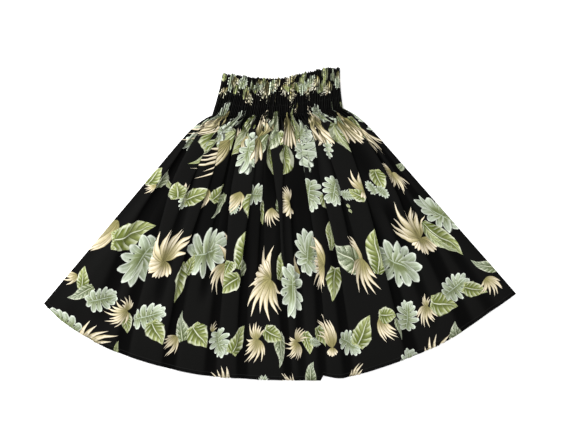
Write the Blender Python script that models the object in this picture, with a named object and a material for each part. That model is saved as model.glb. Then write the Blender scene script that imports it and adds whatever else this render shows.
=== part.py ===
"""Gathered hula skirt laid flat on a table, front half up.

The skirt is a wide tube of printed cloth. Elastic shirrs its top into a deep
waistband. Below the band the cloth springs out sideways and falls in soft folds
to a wide curved hem. Units are metres, +X runs to the right of the front,
+Y from hem to waist, and +Z up from the table.
"""

import math
from collections import namedtuple

import bmesh
import bpy

# Cloth and seams
CLOTH = 0.0015
SEAM_GAP = 0.0003
BAND_CORE = 0.0030

# Waistband, drawn in by its elastic
TOP_LEFT_X = -0.1370
TOP_RIGHT_X = 0.1440
FOOT_LEFT = (-0.1632, 0.2616)
FOOT_RIGHT = (0.1512, 0.2784)
FOOT_SAG = 0.0100
BAND_WAIST_IN = 0.0020

# Skirt outline: the sides flare out below the band, then run nearly straight
FLARE = 0.062
FLARE_REACH = 0.035

# Gathers of each half of the waistband, and how they fade down the skirt
GATHERS = 40
GATHER_HEIGHT_BAND = 0.0044
GATHER_HEIGHT_UNDER = 0.0032
UNDER_SHARE = 0.80
GATHER_HEIGHT_SKIRT = 0.0040
GATHER_FADE = 0.085
GATHER_END = 0.30
GATHER_WANDER = 0.22
WANDER_BEATS = (2.31, 0.47)
SIZE_MEAN = 0.82
SIZE_SWING = 0.26
SIZE_BEATS = (1.70, 0.63)
SIDE_GATHERS = 1.5
ROUNDING = 0.62
HEADING_SCALLOP = 0.0014
HEADING_SHARE = 0.86

# Height of the folds between one trough and the next
FRONT_FOLD_HEIGHT = 0.0120
FRONT_HEM_HEIGHT = 0.0095
FOLD_RISE = 0.070
BACK_FOLD_HEIGHT = 0.0048
BAND_LIFT = 0.0024
LIFT_REACH = 0.05
EDGE_CLOSE = 0.045
TROUGH_START = 0.10
TROUGH_HEAD_START = 0.35
TROUGH_END = 0.15
TROUGH_TOP_WIDTH = 0.75
CREASE_START = 0.12

# A pleat whose hem rides a little high, to the right of the middle
PLEAT_LEFT = 0.588
PLEAT_RIGHT = 0.632
PLEAT_LIFT = 0.0130
PLEAT_REACH = 0.10

# Fractions from the waistband's foot (0) to the hem (1) where the cloth has a row of points
SKIRT_ROWS = (0.0, 0.022, 0.055, 0.10, 0.165, 0.25, 0.35, 0.46, 0.58, 0.70, 0.82, 0.92, 1.0)
# Fractions from the waistband's top (0) to its foot (1)
BAND_ROWS = (0.0, 0.10, 0.34, 0.67, 1.0)

Half = namedtuple("Half", "name plain_z facing height")
Edge = namedtuple("Edge", "across y")
Hem = namedtuple("Hem", "across x y")
Trough = namedtuple("Trough", "at_waist at_hem half_width depth begins ends")
Crease = namedtuple("Crease", "at_waist at_hem half_width height begins")

# Top edge of the waistband, low in the middle and highest at the right
TOP_EDGE = (
    Edge(0.00, 0.3648),
    Edge(0.18, 0.3580),
    Edge(0.30, 0.3538),
    Edge(0.50, 0.3528),
    Edge(0.66, 0.3632),
    Edge(0.87, 0.3764),
    Edge(1.00, 0.3778),
)

# Hem, from the left corner to the right corner
HEM = (
    Hem(0.000, -0.5700, -0.1928),
    Hem(0.036, -0.5280, -0.2304),
    Hem(0.120, -0.4320, -0.2920),
    Hem(0.225, -0.3120, -0.3360),
    Hem(0.331, -0.1920, -0.3636),
    Hem(0.437, -0.0720, -0.3738),
    Hem(0.560, 0.0680, -0.3772),
    Hem(0.627, 0.1450, -0.3735),
    Hem(0.752, 0.2880, -0.3312),
    Hem(0.858, 0.4080, -0.2784),
    Hem(0.942, 0.5040, -0.2136),
    Hem(1.000, 0.5700, -0.1690),
)

# Valleys between the folds of the front, from left to right
FRONT_TROUGHS = (
    Trough(0.020, 0.100, 0.034, 0.55, 0.10, 0.80),
    Trough(0.050, 0.165, 0.030, 0.95, 0.02, 1.00),
    Trough(0.120, 0.215, 0.026, 0.70, 0.02, 0.70),
    Trough(0.185, 0.262, 0.030, 1.00, 0.00, 1.00),
    Trough(0.250, 0.318, 0.020, 0.60, 0.00, 0.62),
    Trough(0.300, 0.352, 0.027, 0.90, 0.00, 1.00),
    Trough(0.368, 0.420, 0.026, 0.95, 0.00, 1.00),
    Trough(0.430, 0.458, 0.018, 0.70, 0.00, 0.55),
    Trough(0.478, 0.486, 0.022, 1.00, 0.00, 1.00),
    Trough(0.530, 0.522, 0.018, 0.80, 0.00, 0.66),
    Trough(0.565, 0.548, 0.020, 0.75, 0.30, 1.00),
    Trough(0.640, 0.590, 0.022, 1.00, 0.00, 1.00),
    Trough(0.700, 0.645, 0.024, 0.85, 0.00, 1.00),
    Trough(0.760, 0.706, 0.020, 0.65, 0.00, 0.60),
    Trough(0.840, 0.778, 0.028, 1.00, 0.00, 1.00),
    Trough(0.900, 0.838, 0.026, 0.75, 0.00, 0.85),
    Trough(0.950, 0.895, 0.030, 0.90, 0.02, 1.00),
    Trough(0.985, 0.948, 0.024, 0.50, 0.15, 1.00),
)

# Creases of the back that rise off the table
BACK_CREASES = (
    Crease(0.085, 0.130, 0.022, 0.80, 0.03),
    Crease(0.160, 0.238, 0.024, 1.00, 0.00),
    Crease(0.245, 0.306, 0.020, 0.70, 0.00),
    Crease(0.330, 0.385, 0.024, 0.95, 0.00),
    Crease(0.420, 0.453, 0.018, 0.85, 0.00),
    Crease(0.505, 0.517, 0.022, 1.00, 0.00),
    Crease(0.600, 0.568, 0.018, 0.75, 0.00),
    Crease(0.670, 0.618, 0.022, 1.00, 0.00),
    Crease(0.745, 0.710, 0.026, 0.85, 0.00),
    Crease(0.815, 0.790, 0.020, 0.60, 0.00),
    Crease(0.880, 0.862, 0.024, 0.95, 0.02),
    Crease(0.945, 0.922, 0.020, 0.70, 0.04),
)


def mix(a, b, share):
    return a + (b - a) * share


def smooth(value):
    """Ease from 0 at 0 to 1 at 1."""
    value = min(1.0, max(0.0, value))
    return value * value * (3.0 - 2.0 * value)


def read_table(rows, across, column):
    """Smooth curve through one column of a table whose first column is its place."""
    last = len(rows) - 1
    k = 0
    while k < last - 1 and across > rows[k + 1].across:
        k += 1
    here, there = rows[k], rows[k + 1]
    before, after = rows[max(k - 1, 0)], rows[min(k + 2, last)]
    span = there.across - here.across
    share = (across - here.across) / span
    rise = getattr(there, column) - getattr(here, column)

    def slope(first, second):
        run = second.across - first.across
        return (getattr(second, column) - getattr(first, column)) / run

    start = slope(before, there) * span
    stop = slope(here, after) * span
    if rise * start <= 0 or rise * stop <= 0:
        limit = 3.0 * abs(rise)
        start = max(-limit, min(limit, start))
        stop = max(-limit, min(limit, stop))
    square, cube = share ** 2, share ** 3
    return (
        getattr(here, column) * (2 * cube - 3 * square + 1)
        + start * (cube - 2 * square + share)
        + getattr(there, column) * (3 * square - 2 * cube)
        + stop * (cube - square)
    )


def gather_place(index):
    """Place across (0 to 1) of a point on the gathers, whose peaks are at whole counts."""
    wander = math.sin(WANDER_BEATS[0] * index) * math.sin(WANDER_BEATS[1] * index)
    inside = min(1.0, 3.0 * math.sin(math.pi * index / GATHERS))
    return (index + GATHER_WANDER * wander * inside) / GATHERS


def gather_size(index):
    """Uneven height share of one gather, lower at the side folds."""
    swing = math.sin(SIZE_BEATS[0] * index) * math.cos(SIZE_BEATS[1] * index)
    side = min(index, GATHERS - index) / SIDE_GATHERS
    return (SIZE_MEAN + SIZE_SWING * swing) * min(1.0, side)


def band_point(across, down):
    """Place in plan of a point on the waistband."""
    top_x = mix(TOP_LEFT_X, TOP_RIGHT_X, across)
    top_y = read_table(TOP_EDGE, across, "y")
    foot_x, foot_y = foot_point(across)
    drawn_in = BAND_WAIST_IN * math.sin(math.pi * down) * (1.0 - 2.0 * across)
    return mix(top_x, foot_x, down) + drawn_in, mix(top_y, foot_y, down)


def foot_point(across):
    """Place in plan of a point on the line where the band ends and the skirt begins."""
    sag = FOOT_SAG * 4.0 * across * (1.0 - across)
    return (
        mix(FOOT_LEFT[0], FOOT_RIGHT[0], across),
        mix(FOOT_LEFT[1], FOOT_RIGHT[1], across) - sag,
    )


def skirt_point(across, down):
    """Place in plan of a point on the skirt, down from the band's foot to the hem."""
    foot_x, foot_y = foot_point(across)
    hem_x = read_table(HEM, across, "x")
    hem_y = read_table(HEM, across, "y")
    spread = down + FLARE * (1.0 - down) * (1.0 - math.exp(-down / FLARE_REACH))
    lifted = 0.0
    if PLEAT_LEFT < across < PLEAT_RIGHT:
        near_hem = smooth(1.0 - (1.0 - down) / PLEAT_REACH)
        lifted = PLEAT_LIFT * near_hem * (PLEAT_RIGHT - across) / (PLEAT_RIGHT - PLEAT_LEFT)
    return mix(foot_x, hem_x, spread), mix(foot_y, hem_y, down) + lifted


def hump(across, centre, half_width):
    """Rounded hump, 1 at its centre and 0 beyond its half width."""
    off = abs(across - centre) / half_width
    return 0.5 + 0.5 * math.cos(math.pi * off) if off < 1.0 else 0.0


def edge_fade(across):
    """0 at the side folds, where the two halves meet, and 1 inside them."""
    return smooth(min(across, 1.0 - across) / EDGE_CLOSE)


def front_folds(across, down):
    """Height of the front's folds above the back."""
    valley = 0.0
    for row in FRONT_TROUGHS:
        centre = mix(row.at_waist, row.at_hem, down)
        width = row.half_width * mix(TROUGH_TOP_WIDTH, 1.0, down)
        begun = smooth((down - row.begins) / TROUGH_START + TROUGH_HEAD_START)
        lasting = smooth((row.ends - down) / TROUGH_END + 1.0)
        valley = max(valley, row.depth * begun * lasting * hump(across, centre, width))
    height = mix(FRONT_FOLD_HEIGHT, FRONT_HEM_HEIGHT, down) * (1.0 - math.exp(-down / FOLD_RISE))
    return height * (1.0 - valley) * edge_fade(across)


def back_folds(across, down):
    """Height of the back's creases above the table."""
    rise = 0.0
    for row in BACK_CREASES:
        centre = mix(row.at_waist, row.at_hem, down)
        begun = smooth((down - row.begins) / CREASE_START)
        rise = max(rise, row.height * begun * hump(across, centre, row.half_width))
    return BACK_FOLD_HEIGHT * rise * edge_fade(across)


def skirt_gather(index, down):
    """Share of full gather height at a point: columns alternate peak and valley."""
    if index % 2:
        return 0.0
    fading = math.exp(-down / GATHER_FADE) * smooth(2.0 * (1.0 - down / GATHER_END))
    return gather_size(index // 2) * fading


def slope_factor(heights, places, k):
    """How much thicker the wall measures straight up where it slopes."""
    first, second = max(k - 1, 0), min(k + 1, len(heights) - 1)
    run = math.dist(places[first], places[second])
    rises = [abs(heights[k] - heights[first]), abs(heights[second] - heights[k])]
    return math.hypot(1.0, sum(rises) / run)


def skirt_heights():
    """Rows of (x, y, back under, back over, front under, front over)."""
    columns = [gather_place(k / 2.0) for k in range(2 * GATHERS + 1)]
    rows = []
    for down in SKIRT_ROWS:
        places = [skirt_point(across, down) for across in columns]
        lift = BAND_LIFT * math.exp(-down / LIFT_REACH)
        under = []
        for k, across in enumerate(columns):
            gather = GATHER_HEIGHT_UNDER * skirt_gather(k, down)
            under.append(gather + back_folds(across, down))
        over = [z + CLOTH * slope_factor(under, places, k) for k, z in enumerate(under)]
        inside = []
        for k, across in enumerate(columns):
            gather = GATHER_HEIGHT_SKIRT * skirt_gather(k, down)
            close = edge_fade(across)
            inside.append(over[k] + SEAM_GAP + gather + lift * close + front_folds(across, down))
        outside = [z + CLOTH * slope_factor(inside, places, k) for k, z in enumerate(inside)]
        rows.append([
            (x, y, *heights)
            for (x, y), *heights in zip(places, under, over, inside, outside)
        ])
    return rows


def add_grid(mesh, grid, facing_up):
    """Triangles over a grid of vertices, all diagonals the same way."""
    for upper, lower in zip(grid, grid[1:]):
        for k in range(len(upper) - 1):
            corners = (upper[k], lower[k], lower[k + 1], upper[k + 1])
            for picked in ((0, 1, 2), (0, 2, 3)):
                face = [corners[n] for n in picked]
                mesh.faces.new(face if facing_up else face[::-1])


def add_strip(mesh, first, second):
    """Band of triangles between two lines of vertices of any two counts."""
    a, b = 0, 0
    while a < len(first) - 1 or b < len(second) - 1:
        ahead = (a + 1) / (len(first) - 1) <= (b + 1) / (len(second) - 1)
        if b == len(second) - 1 or (a < len(first) - 1 and ahead):
            mesh.faces.new((first[a], first[a + 1], second[b]))
            a += 1
        else:
            mesh.faces.new((first[a], second[b + 1], second[b]))
            b += 1


def close_walls(mesh, over, under):
    """Rims between the upper and the lower grid of a wall, on its four sides."""
    add_strip(mesh, over[0], under[0])
    add_strip(mesh, [row[-1] for row in over], [row[-1] for row in under])
    add_strip(mesh, over[-1][::-1], under[-1][::-1])
    add_strip(mesh, [row[0] for row in over][::-1], [row[0] for row in under][::-1])


def cloth_material(name, colour, roughness):
    material = bpy.data.materials.new(name)
    material.use_nodes = True
    shader = material.node_tree.nodes["Principled BSDF"]
    shader.inputs["Base Color"].default_value = (*colour, 1.0)
    shader.inputs["Roughness"].default_value = roughness
    shader.inputs["Metallic"].default_value = 0.0
    return material


def finish_object(name, mesh, middle, material):
    """Centre the points on the skirt's middle and make the object."""
    for vertex in mesh.verts:
        vertex.co.x -= middle[0]
        vertex.co.y -= middle[1]
    data = bpy.data.meshes.new(name)
    mesh.to_mesh(data)
    mesh.free()
    data.materials.append(material)
    data.shade_smooth()
    data.set_sharp_from_angle(angle=math.radians(60.0))
    made = bpy.data.objects.new(name, data)
    bpy.context.scene.collection.objects.link(made)
    return made


def make_skirt_half(name, rows, under, over, middle, material):
    """One half of the skirt: a wall between two of the height columns."""
    mesh = bmesh.new()
    upper = [[mesh.verts.new((p[0], p[1], p[over])) for p in row] for row in rows]
    lower = [[mesh.verts.new((p[0], p[1], p[under])) for p in row] for row in rows]
    add_grid(mesh, upper, True)
    add_grid(mesh, lower, False)
    close_walls(mesh, upper, lower)
    return finish_object(name, mesh, middle, material)


def band_rise(step, down):
    """Share of full height on the band's gathers, four steps from peak to peak."""
    index, quarter = divmod(step, 4)
    if quarter == 3:
        index += 1
    wave = (1.0, ROUNDING, 0.0, ROUNDING)[quarter]
    return wave * gather_size(index) * mix(HEADING_SHARE, 1.0, smooth(down / BAND_ROWS[2]))


def band_vertex(mesh, step, down, height, scallop):
    """A vertex on the band, its edges scalloped above and clear of the skirt below."""
    x, y = band_point(gather_place(step / 4.0), down)
    if down == BAND_ROWS[0]:
        y += HEADING_SCALLOP * scallop
    if down == BAND_ROWS[-1]:
        y += SEAM_GAP
    return mesh.verts.new((x, y, max(0.0, height)))


def make_band_half(half, middle, material):
    """One half of the waistband: gathers raised outside over a plain inside."""
    mesh = bmesh.new()
    steps = 4 * GATHERS
    gathered = []
    for down in BAND_ROWS:
        rises = [band_rise(step, down) for step in range(steps + 1)]
        gathered.append([
            band_vertex(
                mesh, step, down, half.plain_z + half.facing * (BAND_CORE + half.height * rise), rise
            )
            for step, rise in enumerate(rises)
        ])
    plain = [
        [band_vertex(mesh, step, down, half.plain_z, 0.0) for step in range(0, steps + 1, 8)]
        for down in (BAND_ROWS[0], BAND_ROWS[2], BAND_ROWS[-1])
    ]
    upper, lower = (gathered, plain) if half.facing > 0 else (plain, gathered)
    add_grid(mesh, upper, True)
    add_grid(mesh, lower, False)
    close_walls(mesh, upper, lower)
    return finish_object(half.name, mesh, middle, material)


def make_skirt():
    """All four pieces, centred in plan on the whole outline."""
    left, right = HEM[0].x, HEM[-1].x
    highest = max(row.y for row in TOP_EDGE)
    lowest = min(row.y for row in HEM)
    middle = ((left + right) / 2.0, (highest + lowest) / 2.0)
    rows = skirt_heights()
    black = (0.020, 0.021, 0.020)
    front = cloth_material("skirt_front_cloth", black, 0.62)
    back = cloth_material("skirt_back_cloth", black, 0.66)
    front_band = cloth_material("waistband_front_cloth", (0.034, 0.037, 0.030), 0.66)
    back_band = cloth_material("waistband_back_cloth", (0.030, 0.033, 0.028), 0.68)
    make_skirt_half("skirt_back", rows, 2, 3, middle, back)
    make_skirt_half("skirt_front", rows, 4, 5, middle, front)
    inside_z = BAND_CORE + GATHER_HEIGHT_UNDER * UNDER_SHARE
    under = Half("waistband_back", inside_z, -1, GATHER_HEIGHT_UNDER)
    upper = Half("waistband_front", inside_z + SEAM_GAP, 1, GATHER_HEIGHT_BAND)
    make_band_half(under, middle, back_band)
    make_band_half(upper, middle, front_band)


for old in list(bpy.data.objects):
    bpy.data.objects.remove(old)
make_skirt()
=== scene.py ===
"""Looks of a gathered hula skirt that lies flat: printed folded cloth, stitching and a pale studio.

The cloth is drawn flat first, with its leaf print cut into it, and is then folded. At each level between
waist and hem the folds use up just as much cloth as lies beside the visible width, so that the print is
pressed together in the gathers as on the real skirt.
"""

import logging
import math
from dataclasses import dataclass, field, replace
from enum import Enum
from typing import Any, Sequence

import bpy
import numpy as np
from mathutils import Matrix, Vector
from mathutils.geometry import delaunay_2d_cdt


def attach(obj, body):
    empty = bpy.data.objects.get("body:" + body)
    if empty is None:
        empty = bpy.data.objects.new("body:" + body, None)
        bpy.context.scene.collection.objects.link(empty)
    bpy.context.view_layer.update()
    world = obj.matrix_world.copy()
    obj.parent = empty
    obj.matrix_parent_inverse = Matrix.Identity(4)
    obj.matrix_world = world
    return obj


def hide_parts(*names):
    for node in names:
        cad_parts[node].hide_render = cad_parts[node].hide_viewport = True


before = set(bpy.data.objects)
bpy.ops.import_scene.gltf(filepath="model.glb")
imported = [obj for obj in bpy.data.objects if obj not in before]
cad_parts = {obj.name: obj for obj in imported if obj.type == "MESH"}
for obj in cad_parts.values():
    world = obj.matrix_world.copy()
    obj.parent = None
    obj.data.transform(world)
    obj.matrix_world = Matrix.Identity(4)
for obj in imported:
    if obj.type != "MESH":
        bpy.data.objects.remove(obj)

LOG = logging.getLogger("skirt")
Array = np.ndarray
Colour = tuple[float, float, float]
Paint = tuple[float, float, float, float]
TURN = 2.0 * np.pi

# The map that lays the flat cloth out: the cloth fills this share of its width, between even margins
CLOTH_MAP = "OFBake"
MAP_SHARE = 0.98
MAP_MARGIN = 0.01


def mix(a: Any, b: Any, share: Any) -> Any:
    """Value that lies share of the way from a to b."""
    return a + (b - a) * share


def ease(value: Any) -> Any:
    """Ease from 0 at 0 to 1 at 1, flat outside."""
    value = np.clip(value, 0.0, 1.0)
    return value * value * (3.0 - 2.0 * value)


def hump(off: Any) -> Any:
    """Rounded hump, 1 where off is 0 and 0 beyond 1 on either side."""
    return np.where(np.abs(off) < 1.0, 0.5 + 0.5 * np.cos(np.pi * np.clip(off, -1.0, 1.0)), 0.0)


def curve_through(places: Array, values: Array, at: Array) -> Array:
    """Smooth curve through a short table.

    Args:
        places: the table's rising places.
        values: its values there.
        at: where to read it.

    Returns:
        The curve's values.
    """
    before, after = np.roll(places, 1), np.roll(places, -1)
    before[0], after[-1] = places[0], places[-1]
    ahead, behind = np.roll(values, -1), np.roll(values, 1)
    ahead[-1], behind[0] = values[-1], values[0]
    slopes = (ahead - behind) / (after - before)
    k = np.clip(np.searchsorted(places, at, side="right") - 1, 0, len(places) - 2)
    span = places[k + 1] - places[k]
    share = (at - places[k]) / span
    square, cube = share**2, share**3
    return (
        values[k] * (2 * cube - 3 * square + 1)
        + slopes[k] * span * (cube - 2 * square + share)
        + values[k + 1] * (3 * square - 2 * cube)
        + slopes[k + 1] * span * (cube - square)
    )


@dataclass(frozen=True)
class Valley:
    """One fold line: its places across at waist and hem, half width, depth, and where it begins and ends."""

    at_waist: float
    at_hem: float
    half_width: float
    depth: float
    begins: float = 0.0
    ends: float = 1.0
    rise: float = 0.10
    started: float = 0.35
    fall: float = 0.15

    def centre(self, down: Any) -> Any:
        """Place across at a level."""
        return mix(self.at_waist, self.at_hem, down)

    def strength(self, down: Any) -> Any:
        """How deep it is at a level, 0 to 1."""
        begun = ease((down - self.begins) / self.rise + self.started)
        return self.depth * begun * ease((self.ends - down) / self.fall + 1.0)


FRONT_VALLEYS = (
    Valley(0.020, 0.100, 0.034, 0.55, 0.10, 0.80),
    Valley(0.050, 0.165, 0.030, 0.95, 0.02, 1.00),
    Valley(0.120, 0.215, 0.026, 0.70, 0.02, 0.70),
    Valley(0.185, 0.262, 0.030, 1.00),
    Valley(0.250, 0.318, 0.020, 0.60, 0.00, 0.62),
    Valley(0.300, 0.352, 0.027, 0.90),
    Valley(0.368, 0.420, 0.026, 0.95),
    Valley(0.430, 0.458, 0.018, 0.70, 0.00, 0.55),
    Valley(0.478, 0.520, 0.022, 1.00),
    Valley(0.530, 0.522, 0.018, 0.80, 0.00, 0.66),
    Valley(0.565, 0.548, 0.020, 0.75, 0.30, 1.00),
    Valley(0.640, 0.590, 0.022, 1.00),
    Valley(0.700, 0.645, 0.024, 0.85),
    Valley(0.760, 0.706, 0.020, 0.65, 0.00, 0.60),
    Valley(0.840, 0.778, 0.028, 1.00),
    Valley(0.900, 0.838, 0.026, 0.55, 0.42, 0.85),
    Valley(0.950, 0.895, 0.030, 0.70, 0.02, 1.00),
    Valley(0.985, 0.948, 0.024, 0.50, 0.15, 1.00),
)

BACK_VALLEYS = (
    Valley(0.085, 0.130, 0.022, 0.80, 0.03),
    Valley(0.160, 0.238, 0.024, 1.00),
    Valley(0.245, 0.306, 0.020, 0.70),
    Valley(0.330, 0.385, 0.024, 0.95),
    Valley(0.420, 0.453, 0.018, 0.85),
    Valley(0.505, 0.517, 0.022, 1.00),
    Valley(0.600, 0.568, 0.018, 0.75),
    Valley(0.670, 0.618, 0.022, 1.00),
    Valley(0.745, 0.710, 0.026, 0.85),
    Valley(0.815, 0.790, 0.020, 0.60),
    Valley(0.880, 0.862, 0.024, 0.95, 0.02),
    Valley(0.945, 0.922, 0.020, 0.70, 0.04),
)

# Columns: place across, x and y of the hem
HEM = np.array([
    (0.000, -0.5700, -0.1928),
    (0.036, -0.5280, -0.2304),
    (0.120, -0.4320, -0.2920),
    (0.225, -0.3120, -0.3360),
    (0.331, -0.1920, -0.3636),
    (0.437, -0.0720, -0.3738),
    (0.560, 0.0680, -0.3772),
    (0.627, 0.1450, -0.3735),
    (0.752, 0.2880, -0.3312),
    (0.858, 0.4080, -0.2784),
    (0.942, 0.5040, -0.2136),
    (1.000, 0.5700, -0.1690),
])

# Columns: place across and y of the waistband's top edge
TOP_EDGE = np.array([
    (0.00, 0.3648),
    (0.18, 0.3580),
    (0.30, 0.3538),
    (0.50, 0.3528),
    (0.66, 0.3632),
    (0.87, 0.3764),
    (1.00, 0.3778),
])


@dataclass(frozen=True)
class SkirtPlan:
    """The laid-out outline in plan, in metres. Levels run from the band's foot, 0, to the hem, 1."""

    top_x: tuple[float, float] = (-0.1370, 0.1440)
    foot_left: tuple[float, float] = (-0.1632, 0.2616)
    foot_right: tuple[float, float] = (0.1512, 0.2784)
    foot_sag: float = 0.0100
    band_in: float = 0.0020
    flare: float = 0.062
    flare_reach: float = 0.035
    pleat: tuple[float, float] = (0.588, 0.632)
    pleat_lift: float = 0.0130
    pleat_reach: float = 0.10
    middle_y: float = 0.0003

    def foot(self, across: Array) -> tuple[Array, Array]:
        """Points on the line where the band ends."""
        sag = self.foot_sag * 4.0 * across * (1.0 - across)
        x = mix(self.foot_left[0], self.foot_right[0], across)
        return x, mix(self.foot_left[1], self.foot_right[1], across) - sag

    def skirt(self, across: Array, down: Array) -> tuple[Array, Array]:
        """Points of the skirt in plan.

        Args:
            across: 0 at the left side fold to 1 at the right.
            down: 0 at the band's foot to 1 at the hem.

        Returns:
            Their x and y.
        """
        foot_x, foot_y = self.foot(across)
        hem_x = curve_through(HEM[:, 0], HEM[:, 1], across)
        hem_y = curve_through(HEM[:, 0], HEM[:, 2], across)
        spread = down + self.flare * (1.0 - down) * (1.0 - np.exp(-np.maximum(down, 0.0) / self.flare_reach))
        left, right = self.pleat
        near = ease(1.0 - (1.0 - down) / self.pleat_reach)
        inside = (across > left) & (across < right)
        lifted = np.where(inside, self.pleat_lift * near * (right - across) / (right - left), 0.0)
        return mix(foot_x, hem_x, spread), mix(foot_y, hem_y, down) + lifted - self.middle_y

    def band(self, across: Array, down: Array) -> tuple[Array, Array]:
        """Points of the waistband in plan, from its top, 0, to its foot, 1.

        Args:
            across: 0 at the left side fold to 1 at the right.
            down: 0 at its top to 1 at its foot.

        Returns:
            Their x and y.
        """
        top_y = curve_through(TOP_EDGE[:, 0], TOP_EDGE[:, 1], across)
        foot_x, foot_y = self.foot(across)
        x = mix(mix(self.top_x[0], self.top_x[1], across), foot_x, down)
        drawn = self.band_in * np.sin(np.pi * np.clip(down, 0.0, 1.0)) * (1.0 - 2.0 * across)
        return x + drawn, mix(top_y, foot_y, down) - self.middle_y


@dataclass(frozen=True)
class Gathers:
    """The small tucks that the elastic draws up, as uneven as on the solids."""

    count: int = 40
    wander: float = 0.22
    beats: tuple[float, float] = (2.31, 0.47)
    sizes: tuple[float, float] = (0.82, 0.26)
    size_beats: tuple[float, float] = (1.70, 0.63)
    even_at_ends: float = 3.0
    pucker_beats: tuple[float, float] = (0.37, 0.21)
    pucker_size: float = 0.0022
    pucker_at_foot: float = 0.0006

    def place(self, index: Array) -> Array:
        """Place across of a tuck's peak."""
        swing = np.sin(self.beats[0] * index) * np.sin(self.beats[1] * index)
        inside = np.minimum(1.0, self.even_at_ends * np.sin(np.pi * index / self.count))
        return (index + self.wander * swing * inside) / self.count

    def phase(self, along: Array) -> Array:
        """How many tucks lie before each place."""
        index = np.linspace(0.0, self.count, 8 * self.count + 1)
        return np.interp(along, self.place(index), index)

    def size(self, along: Array) -> Array:
        """Uneven strength of the tucks along the cloth."""
        index = self.phase(along)
        swing = np.sin(self.size_beats[0] * index) * np.cos(self.size_beats[1] * index)
        return self.sizes[0] + self.sizes[1] * swing


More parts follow.
